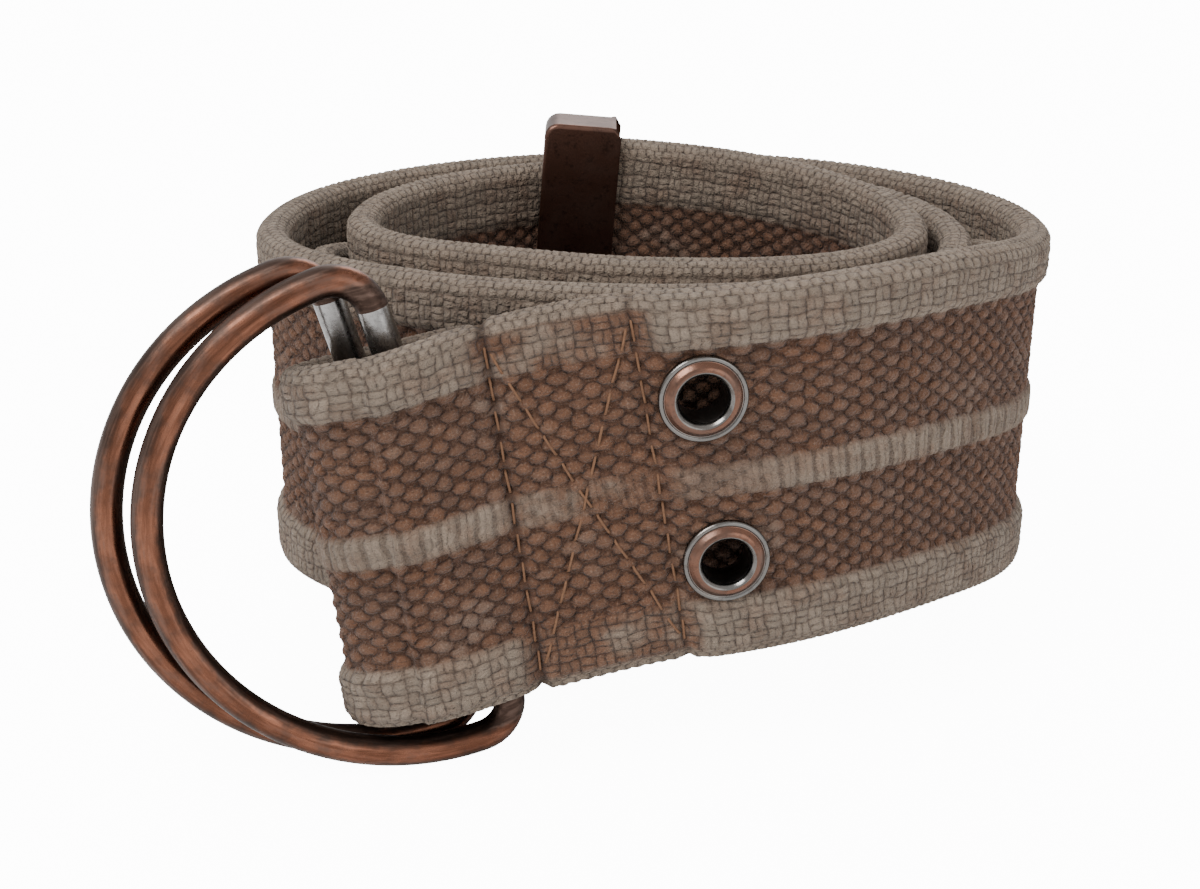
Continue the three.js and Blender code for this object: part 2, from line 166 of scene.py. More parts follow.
# Bands and rib as the photo shows them, which are narrower than the solids have them
UPPER_BAND = 7.3
LOWER_BAND = 8.6
SHOWN_RIB = 3.6
BAND_BLUR = 0.4
RIB_BLUR = 0.7
RIB_FADES_UNTIL = 20.0
RIB_FADED = 0.6

# Weave: pitches and threads, stretched more at the sewn end than far from it
SEWN_STRETCH = 1.2
FAR_STRETCH = 0.95
STRETCH_EASES = 60.0
PEBBLE_ALONG = 3.35
PEBBLE_ACROSS = 2.35
PEBBLE_HALF_ALONG = 1.12
PEBBLE_HALF_ACROSS = 0.88
UNDER_SHARE = 0.8
UNDER_HEIGHT = 0.5
THREAD_CELL = 1.85
LADDER_PITCH = 2.0
PAIR_OFFSET = 0.19
THREAD_SHARE = 0.2
ROPE_PITCH = 1.3
ROPE_ROW = 1.3

# Relief of the weave, each in millimetres
RELIEF_BODY = 0.6
RELIEF_BAND = 0.3
RELIEF_RIB = 0.4
RELIEF_EDGE = 0.42
RELIEF_MIDDLE = 0.6
LOOP_INSET = 0.3
SEWN_BULGE = 0.35

# Seams: what they pull in, and how far to each side
FIRST_SEAM_DEPTH = 0.75
FIRST_SEAM_SIDE = 0.8
SECOND_SEAM_DEPTH = 0.5
SECOND_SEAM_SIDE = 0.7
CROSS_DEPTH = 0.22
CROSS_SIDE = 0.9
CROSS_REACH = 20.5

# Stitches
SEAM_REACH = 22.5
STITCHED_CROSS_REACH = 21.5
CROSS_FROM_SEAM = 0.4
STITCH_GAP = 0.5
STITCH_TURN = 0.14
STITCH_LIFT = 0.24
STITCH_DIVE = 0.9
STITCH_STEPS = 6
THREAD_SIDES = 6

# A place across that no face has, for the points on the edges
ON_EDGE = 99.0

# Fineness of the meshes
EDGE_POINTS = 11
FACE_POINTS = 185
WIRE_SIDES = 28
CORNER_STEPS = 10
BOW_STEPS = 96
BAR_CUTS = 20
EYELET_STEPS = 72

# Finishing touches of the metal pieces
HOLE_CUT = 4.3
WORN_FROM = 0.75
WORN_TO = 0.72
BARREL_SHOWS = 0.12
BARE_BAR = 0.3
TIP_CORNER = 2.0
TIP_EDGE = 0.65

# Each D-ring: its node, row in the loop, how far it is raised, and its swing at rest in degrees
RINGS = (
    ("d_ring_front", 0, 1.2, 2),
    ("d_ring_rear", 1, 2, 3.4),
)

# Stage, with the camera's place in millimetres from the coil's
CAMERA_PLACE = (-7.1, -251.0, 141.8)
CAMERA_DROP = 24.5
WORLD_LIGHT = 0.95
LIGHT_TARGET = (0, 0, 0.03)
# Name, place, size in metres and share of the key light's power
LIGHTS = (
    ("key", (-0.45, -0.35, 0.75), 0.5, 1.0),
    ("fill", (0.6, -0.6, 0.35), 0.7, 0.3),
    ("back", (0.1, 0.7, 0.6), 0.6, 0.4),
)


def smooth(x, low, high):
    u = np.clip((np.asarray(x, float) - low) / (high - low), 0, 1)
    return u * u * (3 - 2 * u)


def follow(column, quarter):
    """Smooth value of one column of the bends between its rows."""
    quarter = np.asarray(quarter, float)
    last = len(BENDS) - 1
    i = np.clip(np.searchsorted(BENDS[:, 0], quarter, side="left") - 1, 0, last - 1)
    before, after = np.maximum(i - 1, 0), np.minimum(i + 2, last)
    at, value = BENDS[:, 0], BENDS[:, column]
    step = at[i + 1] - at[i]
    u = np.clip((quarter - at[i]) / step, 0, 1)
    slope_a = (value[i + 1] - value[before]) / (at[i + 1] - at[before]) * step
    slope_b = (value[after] - value[i]) / (at[after] - at[i]) * step
    return (
        (2 * u**3 - 3 * u**2 + 1) * value[i]
        + (u**3 - 2 * u**2 + u) * slope_a
        + (3 * u**2 - 2 * u**3) * value[i + 1]
        + (u**3 - u**2) * slope_b
    )


def coil_point(quarter):
    """Middle of the webbing on the coil, in millimetres from the coil's centre."""
    quarter = np.atleast_1d(np.asarray(quarter, float))
    inset = follow(LAYERS, quarter) * LAYER_PITCH + follow(SLACK, quarter) * STRAP_THICKNESS
    z = STRAP_WIDTH * (0.5 + follow(LIFT, quarter))
    half_width = COIL_WIDTH / 2 - STRAP_THICKNESS / 2 - inset
    half_depth = COIL_DEPTH / 2 - STRAP_THICKNESS / 2 - inset
    angle = (quarter - 1) * math.pi / 2
    x = half_width * np.cos(angle)
    y = half_depth * np.sin(angle)
    sewn = quarter < 0
    x = np.where(sewn, quarter * END_RUN, x)
    y = np.where(sewn, -half_depth - END_FLARE * quarter**2, y)
    tip = quarter > LAST_BEND
    x = np.where(tip, -(quarter - LAST_BEND) / (TIP_QUARTER - LAST_BEND) * TIP_RUN, x)
    y = np.where(tip, half_depth, y)
    return np.stack([x, y, z], axis=1)


def coil_frame(quarter):
    """Middle of the webbing, and its directions out of its outer face and up its width."""
    quarter = np.atleast_1d(np.asarray(quarter, float))
    low = np.maximum(quarter - 0.01, -1)
    high = np.minimum(quarter + 0.01, TIP_QUARTER)
    along = coil_point(high) - coil_point(low)
    along[:, 2] = 0
    along /= np.linalg.norm(along, axis=1)[:, None]
    level = np.stack([along[:, 1], -along[:, 0], np.zeros(len(along))], axis=1)
    lean = np.radians(follow(LEAN, quarter))[:, None]
    tilt = np.radians(follow(TILT, quarter))[:, None]
    upright = np.cos(lean) * np.array([0, 0, 1.0]) - np.sin(lean) * along
    up = np.cos(tilt) * upright - np.sin(tilt) * level
    out = np.cos(tilt) * level + np.sin(tilt) * upright
    return coil_point(quarter), up, out


def frame_at(quarter):
    """Middle of the webbing at one quarter, and its directions along, up and out."""
    middle, up, out = (v[0] for v in coil_frame(quarter))
    along = np.cross(up, out)
    return middle, along / np.linalg.norm(along), up, out


COIL_QUARTERS = np.linspace(-1, TIP_QUARTER, 15401)
COIL_RUN = np.concatenate(
    [[0], np.cumsum(np.linalg.norm(np.diff(coil_point(COIL_QUARTERS), axis=0), axis=1))]
)


def quarter_at(distance):
    """Quarter that lies a length of webbing away from the fold."""
    return np.interp(distance, COIL_RUN, COIL_QUARTERS)


def distance_at(quarter):
    return float(np.interp(quarter, COIL_QUARTERS, COIL_RUN))


SEAM_B = LOOP_LENGTH + STITCHED_LENGTH
CUT_END = SEAM_B + FOLD_BACK_OVERRUN
FOLD_RADIUS = LOOP_DEPTH / 2
TIP_DISTANCE = float(COIL_RUN[-1])


def band_share(distance):
    """Share of the bands' height left at a distance from the fold."""
    fallen = smooth(distance, LOOP_LENGTH - 4, LOOP_LENGTH)
    risen = smooth(distance, SEAM_B, SEAM_B + 4)
    return 1 - (1 - STITCHED_SQUEEZE) * (fallen - risen)


def webbing_path():
    """The whole webbing from its cut end round the fold to the tip, as rows of one table.

    Columns: run of webbing, distance from the fold (negative on the folded ply), share of the
    bands' height, middle, up and out.
    """
    back = np.arange(CUT_END, FOLD_RADIUS, -0.25)
    middle, up, out = coil_frame(quarter_at(back))
    closing = smooth(back, WIDE_SHARE * LOOP_LENGTH, LOOP_LENGTH)
    depth = (LOOP_DEPTH + (BODY_THICKNESS - PLY_OVERLAP - LOOP_DEPTH) * closing)[:, None]
    pressed = smooth(back, FOLD_RADIUS, 2 * FOLD_RADIUS)
    middle = middle - (out + LOOP_DROP * up) * depth
    parts = [(-back, 1 + (STITCHED_SQUEEZE - 1) * pressed, middle, up, -out)]
    middle, along, up, out = frame_at(quarter_at(FOLD_RADIUS))
    turn = np.radians(np.arange(180, 0, -2.0))
    facing = np.cos(turn)[:, None] * out - np.sin(turn)[:, None] * along
    sunk = LOOP_DROP * FOLD_RADIUS * (np.cos(turn) - 1)
    fold = middle - out * FOLD_RADIUS + facing * FOLD_RADIUS + up * sunk[:, None]
    count = len(turn)
    mark = FOLD_RADIUS * (1 - 2 * turn / math.pi)
    parts.append((mark, np.ones(count), fold, np.tile(up, (count, 1)), facing))
    front = np.concatenate([np.arange(FOLD_RADIUS, TIP_DISTANCE, 0.25), [TIP_DISTANCE]])
    middle, up, out = coil_frame(quarter_at(front))
    swell = LOOP_SWELL * np.sin(math.pi * np.clip(front / LOOP_LENGTH, 0, 1)) ** 2
    parts.append((front, band_share(front), middle + out * swell[:, None], up, out))
    mark, share, middle, up, out = (np.concatenate(column) for column in zip(*parts))
    run = np.concatenate([[0], np.cumsum(np.linalg.norm(np.diff(middle, axis=0), axis=1))])
    return run, mark, share, middle, up, out


PATH = webbing_path()


def weave_run():
    """Length along the weave at each row of the path: the sewn end's threads lie further apart."""
    at, mark = PATH[0], PATH[1]
    far = smooth(mark, SEAM_B, SEAM_B + STRETCH_EASES)
    stretch = SEWN_STRETCH + (FAR_STRETCH - SEWN_STRETCH) * far
    steps = np.diff(at) / ((stretch[1:] + stretch[:-1]) / 2)
    return np.concatenate([[0], np.cumsum(steps)])


WEAVE_RUN = weave_run()


def along_path(run):
    """Rows of the path at lengths of webbing measured from the cut end."""
    at, mark, share, middle, up, out = PATH
    pick = lambda column: np.interp(run, at, column)
    pick3 = lambda table: np.stack([pick(table[:, k]) for k in range(3)], axis=1)
    up, out = pick3(up), pick3(out)
    up /= np.linalg.norm(up, axis=1)[:, None]
    out /= np.linalg.norm(out, axis=1)[:, None]
    return pick(mark), pick(share), pick3(middle), up, out


def run_at(distance):
    """Length from the cut end at a distance past the fold on the front ply."""
    front = PATH[1] >= FOLD_RADIUS
    return float(np.interp(distance, PATH[1][front], PATH[0][front]))


def section(count_face, count_edge, share):
    """Smooth outline of the webbing's section, from the upper edge down the outer face.

    Returns across and out for each of its points, with a row for each value of share.
    """
    half = STRAP_WIDTH / 2 - EDGE_ROUNDING
    face = np.linspace(half, -half, count_face)
    turn = np.linspace(0, math.pi, count_edge + 2)[1:-1]
    across = np.concatenate(
        [face, -half - EDGE_ROUNDING * np.sin(turn), face[::-1], half + EDGE_ROUNDING * np.sin(turn)]
    )
    share = np.asarray(share)[:, None]
    half_width = STRAP_WIDTH / 2
    shown = half_width - np.where(face > 0, UPPER_BAND, LOWER_BAND)
    outer_band = smooth(np.abs(face) - shown, -BAND_SLOPE / 2, BAND_SLOPE)
    inner_band = smooth(np.abs(face) - half_width + BAND_HEIGHT, -BAND_SLOPE / 2, BAND_SLOPE)
    rib = 1 - smooth(np.abs(face), (SHOWN_RIB - RIB_SLOPE) / 2, SHOWN_RIB / 2 + RIB_SLOPE)
    outer = BODY_OUTER_FACE + share * (BAND_PROUD_OUTSIDE * outer_band + RIB_PROUD * rib)
    inner = BODY_INNER_FACE - share * BAND_PROUD_INSIDE * inner_band
    top_outer = BODY_OUTER_FACE + share * BAND_PROUD_OUTSIDE
    top_inner = BODY_INNER_FACE - share * BAND_PROUD_INSIDE
    mid, reach = (top_outer + top_inner) / 2, (top_outer - top_inner) / 2
    lower_edge = mid + reach * np.cos(turn)
    upper_edge = mid - reach * np.cos(turn)
    out = np.concatenate([outer, lower_edge, inner[:, ::-1], upper_edge], axis=1)
    return across, out


def hashed(i, j):
    """Repeatable noise from 0 to 1 for a pair of whole numbers."""
    mixed = np.sin(i * 127.1 + j * 311.7) * 43758.5453
    return mixed - np.floor(mixed)


def pebbles(run, girth):
    """Height from 0 to 1 of the staggered pebble weave of the body."""
    height = np.zeros(np.broadcast(run, girth).shape)
    for shift in (0.0, 0.5):
        i = np.round(run / PEBBLE_ALONG - shift)
        j = np.round(girth / PEBBLE_ACROSS - shift)
        dx = run - (i + shift) * PEBBLE_ALONG
        dy = girth - (j + shift) * PEBBLE_ACROSS
        dome = 1 - (dx / PEBBLE_HALF_ALONG) ** 2 - (dy / PEBBLE_HALF_ACROSS) ** 2
        height = np.maximum(height, np.sqrt(np.clip(dome, 0, 1)))
    return height


def basket(run, girth):
    """Height from 0 to 1 of doubled threads that pass over and under each other in pairs."""
    i, j = np.floor(run / THREAD_CELL), np.floor(girth / THREAD_CELL)
    u, v = run / THREAD_CELL - i, girth / THREAD_CELL - j
    over = (i + j) % 2 == 0
    pair = np.abs(np.sin(2 * math.pi * np.where(over, v, u)))
    dome = np.sin(math.pi * np.where(over, u, v))
    return np.sqrt(np.clip(dome, 0, 1)) * (0.35 + 0.65 * np.sqrt(pair))


def ladder(run):
    """Height from 0 to 1 of the upright threads of the middle rib, which lie in pairs."""
    u = run / LADDER_PITCH
    off = np.abs(np.abs(u - np.floor(u) - 0.5) - PAIR_OFFSET) / THREAD_SHARE
    return np.sqrt(np.clip(1 - off**2, 0, 1))


def rope(run, girth):
    """Height from 0 to 1 of the small turns of the woven edge, in staggered rows."""
    row = girth / ROPE_ROW
    turn = np.sqrt(np.abs(np.cos(math.pi * (run / ROPE_PITCH + 0.5 * np.floor(row)))))
    return turn * (0.4 + 0.6 * np.sqrt(np.abs(np.sin(math.pi * row))))


def seam_press(mark, across):
    """Depth in millimetres that the seams pull into the webbing, on both plies."""
    distance = np.abs(mark)
    on_plies = distance > FOLD_RADIUS
    inside = np.abs(across) < STRAP_WIDTH / 2 + 1
    depth = FIRST_SEAM_DEPTH * np.exp(-(((distance - LOOP_LENGTH) / FIRST_SEAM_SIDE) ** 2))
    depth = depth + SECOND_SEAM_DEPTH * np.exp(-(((distance - SEAM_B) / SECOND_SEAM_SIDE) ** 2))
    sewn = (distance - LOOP_LENGTH) / STITCHED_LENGTH
    within = smooth(sewn, 0.02, 0.08) * (1 - smooth(sewn, 0.92, 0.98))
    for sign in (1, -1):
        line = sign * (1 - 2 * sewn) * CROSS_REACH
        depth = depth + CROSS_DEPTH * within * np.exp(-(((across - line) / CROSS_SIDE) ** 2))
    return depth * on_plies * inside


def bulge(mark):
    """Soft swelling of the webbing between the seams."""
    sewn = np.clip((np.abs(mark) - LOOP_LENGTH) / STITCHED_LENGTH, 0, 1)
    return SEWN_BULGE * np.sin(math.pi * sewn)


def relief(run, mark, share, across, girth, is_edge, is_inner):
    """Height of the weave in millimetres, and the masks that the finish reads."""
    half = STRAP_WIDTH / 2
    wide = np.where(is_inner, BAND_HEIGHT, np.where(across > 0, UPPER_BAND, LOWER_BAND))
    band = smooth(np.abs(across) - half + wide, -BAND_BLUR, BAND_BLUR)
    rib = 1 - smooth(np.abs(across), SHOWN_RIB / 2, SHOWN_RIB / 2 + RIB_BLUR)
    shown_again = smooth(mark, SEAM_B + RIB_FADES_UNTIL / 3, SEAM_B + RIB_FADES_UNTIL)
    rib = rib * (1 - RIB_FADED * (mark > SEAM_B) * (1 - shown_again))
    turned = half - EDGE_ROUNDING
    edge = np.maximum(smooth(np.abs(across), turned - 0.3, turned + 0.4), is_edge)
    shape = np.broadcast(run, girth).shape
    band, rib, edge = (np.broadcast_to(mask, shape) for mask in (band, rib, edge))
    height = RELIEF_BODY * (pebbles(run, girth) - RELIEF_MIDDLE)
    height = height + (RELIEF_BAND * (basket(run, girth) - RELIEF_MIDDLE) - height) * band
    height = height + (RELIEF_RIB * (ladder(run) - RELIEF_MIDDLE) - height) * rib * share
    height = height + (RELIEF_EDGE * (rope(run, girth) - RELIEF_MIDDLE) - height) * edge
    pressed = seam_press(mark, across)
    height = height - pressed + bulge(mark) * (1 - edge)
    # Inside the loop the weave stays clear of the rings as they swing
    in_loop = (np.abs(mark) < LOOP_LENGTH) * np.maximum(edge, is_inner)
    height = height - LOOP_INSET * in_loop
    return height, edge, band, rib, pressed / FIRST_SEAM_DEPTH


def add_object(name, data):
    """A new object in the scene that holds a mesh, a light or a camera."""
    obj = bpy.data.objects.new(name, data)
    bpy.context.scene.collection.objects.link(obj)
    return obj


def give_finish(mesh, materials):
    """Gives a mesh its materials, and smooth faces."""
    for material in materials:
        mesh.materials.append(material)
    mesh.polygons.foreach_set("use_smooth", np.ones(len(mesh.polygons), bool))


def new_object(name, bm, materials, body="belt"):
    """Turns a bmesh in millimetres of the frame into a finished object in metres."""
    mesh = bpy.data.meshes.new(name)
    bmesh.ops.scale(bm, vec=(MM, MM, MM), verts=bm.verts)
    bm.to_mesh(mesh)
    bm.free()
    obj = add_object(name, mesh)
    give_finish(mesh, materials)
    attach(obj, body)
    return obj


def eyelet_spots():
    """Each eyelet's name, distance from the fold and place across the webbing."""
    buckle = SEAM_B + EYELETS_PAST_SEAM
    near_tip = TIP_DISTANCE - TIP_EYELETS_FROM_TIP
    half = EYELET_SPACING / 2
    return (
        ("eyelet_buckle_upper", buckle, half + EYELET_RAISE),
        ("eyelet_buckle_lower", buckle, EYELET_RAISE - half),
        ("eyelet_tip_upper", near_tip, half),
        ("eyelet_tip_lower", near_tip, -half),
    )


def flat_girth(across, count_face, count_edge):
    """Length round the section with the webbing laid flat, from its upper edge down."""
    arc = math.pi / 2 * (EDGE_ROUNDING + STRAP_THICKNESS / 2) / (count_edge + 1)
    step = np.abs(np.diff(across))
    on_edge = np.ones(len(across) - 1, bool)
    on_edge[: count_face - 1] = False
    on_edge[count_face + count_edge : 2 * count_face + count_edge - 1] = False
    girth = np.concatenate([[0], np.cumsum(np.where(on_edge, arc, step))])
    return np.append(girth, girth[-1] + arc)


def outward(across, proud):
    """Outward direction within the section, across the webbing and out of it."""
    d_across = np.roll(across, -1) - np.roll(across, 1)
    d_out = np.roll(proud, -1, axis=1) - np.roll(proud, 1, axis=1)
    length = np.hypot(d_across[None, :], d_out)
    return d_out / length, -d_across[None, :] / length


def flat_grid(name, rows, ring):
    """A flat grid mesh, and for each of its points its row and its place round the section."""
    bm = bmesh.new()
    bmesh.ops.create_grid(bm, x_segments=rows - 1, y_segments=ring, size=0.5)
    flat = np.array([v.co[:] for v in bm.verts])
    mesh = bpy.data.meshes.new(name)
    bm.to_mesh(mesh)
    bm.free()
    i = np.clip(np.rint((flat[:, 0] + 0.5) * (rows - 1)).astype(int), 0, rows - 1)
    j_open = np.clip(np.rint((flat[:, 1] + 0.5) * ring).astype(int), 0, ring)
    return mesh, i, j_open % ring, j_open


def mark_points(mesh, name, kind, field, values):
    """Stores a value, a vector or a colour for each point of a mesh."""
    layer = mesh.attributes.new(name, kind, "POINT")
    layer.data.foreach_set(field, values.astype(np.float32).ravel())


def make_stretch(name, start, end, step_along, step_round):
    """One stretch of the webbing, a grid of faces wrapped round the section and along the path."""
    first = 0.0 if start is None else run_at(distance_at(start))
    last = run_at(TIP_DISTANCE) if end is None else run_at(distance_at(end))
    rows = int(math.ceil((last - first) / step_along)) + 1
    run = np.linspace(first, last, rows)
    mark, share, middle, up, out = along_path(run)
    count_face = int(2 * (STRAP_WIDTH / 2 - EDGE_ROUNDING) / step_round)
    count_edge = EDGE_POINTS
    across, proud = section(count_face, count_edge, share)
    ring = len(across)
    girth = flat_girth(across, count_face, count_edge)
    is_edge = np.zeros(ring)
    is_edge[count_face : count_face + count_edge] = 1
    is_edge[2 * count_face + count_edge :] = 1
    is_inner = np.zeros(ring, bool)
    is_inner[count_face + count_edge : 2 * count_face + count_edge] = True
    normal_across, normal_out = outward(across, proud)
    threads = np.interp(run, PATH[0], WEAVE_RUN)
    height, edge, band, rib, pressed = relief(
        threads[:, None],
        mark[:, None],
        share[:, None],
        across[None, :],
        girth[None, :-1],
        is_edge[None, :],
        is_inner[None, :],
    )
    rib = rib * ~is_inner[None, :]
    fade = np.clip(share[:, None] * np.ones((1, ring)), 0, 1)
    across_all = across[None, :] + height * normal_across
    out_all = proud + height * normal_out
    place = (
        middle[:, None, :]
        + up[:, None, :] * across_all[:, :, None]
        + out[:, None, :] * out_all[:, :, None]
        + COIL_PLACE
    )
    mesh, i, j, j_open = flat_grid(name, rows, ring)
    mesh.vertices.foreach_set("co", (place[i, j] * MM).astype(np.float32).ravel())
    # A map of the webbing laid flat, in metres, for the threads of its finish
    uv = mesh.uv_layers.new(name="webbing")
    corner = np.zeros(len(mesh.loops), int)
    mesh.loops.foreach_get("vertex_index", corner)
    flat_uv = np.stack([threads[i[corner]], girth[j_open[corner]]], axis=1) * MM
    uv.data.foreach_set("uv", flat_uv.astype(np.float32).ravel())
    masks = np.stack([edge[i, j], band[i, j], rib[i, j], fade[i, j]], axis=1)
    mark_points(mesh, "zones", "FLOAT_COLOR", "color", masks)
    mark_points(mesh, "pressed", "FLOAT", "value", pressed[i, j])
    laid = np.stack([run[i], np.where(is_edge[j] > 0, ON_EDGE, across[j]), 0 * run[i]], axis=1)
    mark_points(mesh, "laid_flat", "FLOAT_VECTOR", "vector", laid)
    close_stretch(mesh, first, last)
    return finish_stretch(name, mesh)


def near_spot(edge_or_face, laid, spot, reach):
    """Whether all points of an edge or a face lie near a spot of the webbing laid flat."""
    return all((v[laid] - spot).length < reach for v in edge_or_face.verts)


def close_stretch(mesh, first, last):
    """Merges the stretch's seam, cuts the holes of its eyelets and closes its two ends."""
    bm = bmesh.new()
    bm.from_mesh(mesh)
    laid = bm.verts.layers.float_vector["laid_flat"]
    spots = [Vector((run_at(distance), height, 0)) for _, distance, height in eyelet_spots()]
    spots = [spot for spot in spots if first < spot.x < last]
    for spot in spots:
        gone = [f for f in bm.faces if near_spot(f, laid, spot, HOLE_CUT)]
        bmesh.ops.delete(bm, geom=gone, context="FACES")
    bmesh.ops.remove_doubles(bm, verts=bm.verts, dist=1e-7)
    ends, holes = [], []
    for edge in [e for e in bm.edges if e.is_boundary]:
        at_end = all(min(v[laid].x - first, last - v[laid].x) < 0.01 for v in edge.verts)
        (ends if at_end else holes).append(edge)
    for edge in ends:
        edge.smooth = False
    bmesh.ops.holes_fill(bm, edges=ends, sides=0)
    for spot in spots:
        rim = [e for e in holes if near_spot(e, laid, spot, HOLE_CUT + 1)]
        bmesh.ops.bridge_loops(bm, edges=rim)
    bmesh.ops.recalc_face_normals(bm, faces=bm.faces)
    bm.to_mesh(mesh)
    bm.free()
    mesh.attributes.remove(mesh.attributes["laid_flat"])


def finish_stretch(name, mesh):
    """Makes a closed stretch a piece of the belt that takes the strap's place."""
    obj = add_object(name, mesh)
    give_finish(mesh, [finish("cotton_webbing")])
    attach(obj, "belt")
    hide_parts("strap")
    return obj


def place_at(seat, x, y, z):
    """Matrix that takes a shape's X, Y and Z to three directions at a seat on the coil."""
    rows = [[x[k], y[k], z[k], seat[k] + COIL_PLACE[k]] for k in range(3)]
    return Matrix(rows + [[0, 0, 0, 1]])


def make_eyelet(name, distance, height):
    """One eyelet: its profile turned a full circle."""
    middle, along, up, out = frame_at(quarter_at(distance))
    hole, rim = EYELET_HOLE / 2, EYELET_FLANGE / 2
    barrel = hole + EYELET_BARREL_WALL
    front, back = BODY_OUTER_FACE + CLEARANCE, BODY_INNER_FACE - CLEARANCE
    tall, washer = EYELET_FLANGE_HEIGHT, EYELET_WASHER_HEIGHT
    profile = [
        (hole, back - washer * 0.5),
        (hole + 0.35, back - washer),
        (rim * 0.86, back - washer),
        (rim, back - washer * 0.5),
        (rim, back),
        (barrel, back),
        (barrel, front),
        (rim, front),
        (rim, front + tall * 0.35),
        (rim - 0.18, front + tall * 0.55),
        (rim - 0.5, front + tall * 0.56),
        (rim - 0.72, front + tall * 0.42),
        (rim - 0.95, front + tall * 0.6),
        (rim - 1.3, front + tall * 0.88),
        (rim - 1.65, front + tall),
        (rim - 2.0, front + tall * 0.93),
        (hole + 0.25, front + tall * 0.66),
        (hole + 0.05, front + tall * 0.25),
        (hole, front - tall * 0.3),
    ]
    bm = bmesh.new()
    verts = [bm.verts.new((radius, 0, z)) for radius, z in profile]
    edges = [bm.edges.new((a, b)) for a, b in zip(verts, verts[1:] + verts[:1])]
    bmesh.ops.subdivide_edges(bm, edges=edges, cuts=2, smooth=0.6)
    bmesh.ops.spin(
        bm,
        geom=bm.verts[:] + bm.edges[:],
        cent=(0, 0, 0),
        axis=(0, 0, 1),
        angle=2 * math.pi,
        steps=EYELET_STEPS,
        use_merge=True,
    )
    bmesh.ops.remove_doubles(bm, verts=bm.verts, dist=1e-4)
    bmesh.ops.recalc_face_normals(bm, faces=bm.faces)
    for face in bm.faces:
        middle_of_face = face.calc_center_median()
        radius = math.hypot(middle_of_face.x, middle_of_face.y)
        if radius < hole + BARREL_SHOWS:
            face.material_index = 2
        elif hole + WORN_FROM < radius < rim - WORN_TO and middle_of_face.z > front:
            face.material_index = 1
    seat = middle + up * height
    bmesh.ops.transform(bm, matrix=place_at(seat, along, up, out), verts=bm.verts)
    plates = [finish("worn_nickel"), finish("nickel_worn_to_copper"), finish("dark_barrel")]
    obj = new_object(name + "_worn", bm, plates)
    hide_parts(name)
    return obj


def ring_seat(row, raised, swing):
    """Place of a ring's bar, and the directions along the bar and towards the bow."""
    middle, along, up, out = frame_at(quarter_at(BAR_FROM_FOLD))
    skew, turn = math.radians(BAR_SKEW), math.radians(swing)
    bar = up * math.cos(skew) - along * math.sin(skew)
    away = -up * math.sin(skew) - along * math.cos(skew)
    seat = middle - out * (BAR_DEPTH + row * BAR_STEP) - along * (row * BAR_STAGGER) + bar * raised
    bow = away * math.cos(turn) + out * math.sin(turn)
    return seat, bar, bow


def wire_map(bm, bow_radius):
    """Marks each point of a ring with its length round the ring and its place round the wire."""
    layer = bm.verts.layers.float_vector.new("wire")
    for v in bm.verts:
        x, y = v.co.x - RING_BOW_SHIFT, v.co.y
        off = math.hypot(x, y) - bow_radius
        v[layer] = (math.atan2(y, x) * bow_radius * MM, off * MM, v.co.z * MM)


def make_ring(name, row, raised, swing):
    """One D-ring: a round section spun round its corners and its bow, closed by its bar."""
    seat, bar, bow = ring_seat(row, raised, swing)
    bow_radius = (RING_INNER_HEIGHT + WIRE) / 2
    inset = RING_CORNER - RING_BOW_SHIFT
    bar_end = math.sqrt((bow_radius - RING_CORNER) ** 2 - inset**2)
    turn = math.atan2(bar_end, inset)
    bm = bmesh.new()
    bmesh.ops.create_circle(bm, segments=WIRE_SIDES, radius=WIRE / 2)
    bmesh.ops.rotate(
        bm, verts=bm.verts, cent=(0, 0, 0), matrix=Matrix.Rotation(math.pi / 2, 3, "X")
    )
    bmesh.ops.translate(bm, verts=bm.verts, vec=(0, bar_end, 0))
    first = list(bm.edges)
    loop = bm.verts[:] + bm.edges[:]
    for centre, angle, steps in (
        ((RING_CORNER, bar_end, 0), -(math.pi - turn), CORNER_STEPS),
        ((RING_BOW_SHIFT, 0, 0), -2 * turn, BOW_STEPS),
        ((RING_CORNER, -bar_end, 0), -(math.pi - turn), CORNER_STEPS),
    ):
        swept = bmesh.ops.spin(bm, geom=loop, cent=centre, axis=(0, 0, 1), angle=angle, steps=steps)
        loop = swept["geom_last"]
    last = [e for e in loop if isinstance(e, bmesh.types.BMEdge)]
    bridged = bmesh.ops.bridge_loops(bm, edges=first + last)
    lengthwise = [e for e in bridged["edges"] if abs(e.verts[0].co.y - e.verts[1].co.y) > bar_end]
    bmesh.ops.subdivide_edges(bm, edges=lengthwise, cuts=BAR_CUTS, use_grid_fill=True)
    bmesh.ops.remove_doubles(bm, verts=bm.verts, dist=1e-4)
    bmesh.ops.recalc_face_normals(bm, faces=bm.faces)
    for face in bm.faces:
        centre = face.calc_center_median()
        in_bar = abs(centre.x) < WIRE / 2 + BARE_BAR and abs(centre.y) < bar_end
        face.material_index = 1 if in_bar else 0
    wire_map(bm, bow_radius)
    bmesh.ops.transform(bm, matrix=place_at(seat, bow, bar, np.cross(bow, bar)), verts=bm.verts)
    body = "front_ring" if row == 0 else "rear_ring"
    obj = new_object(name + "_worn", bm, [finish("antiqued_copper"), finish("bare_steel_bar")], body)
    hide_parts(name)
    return obj


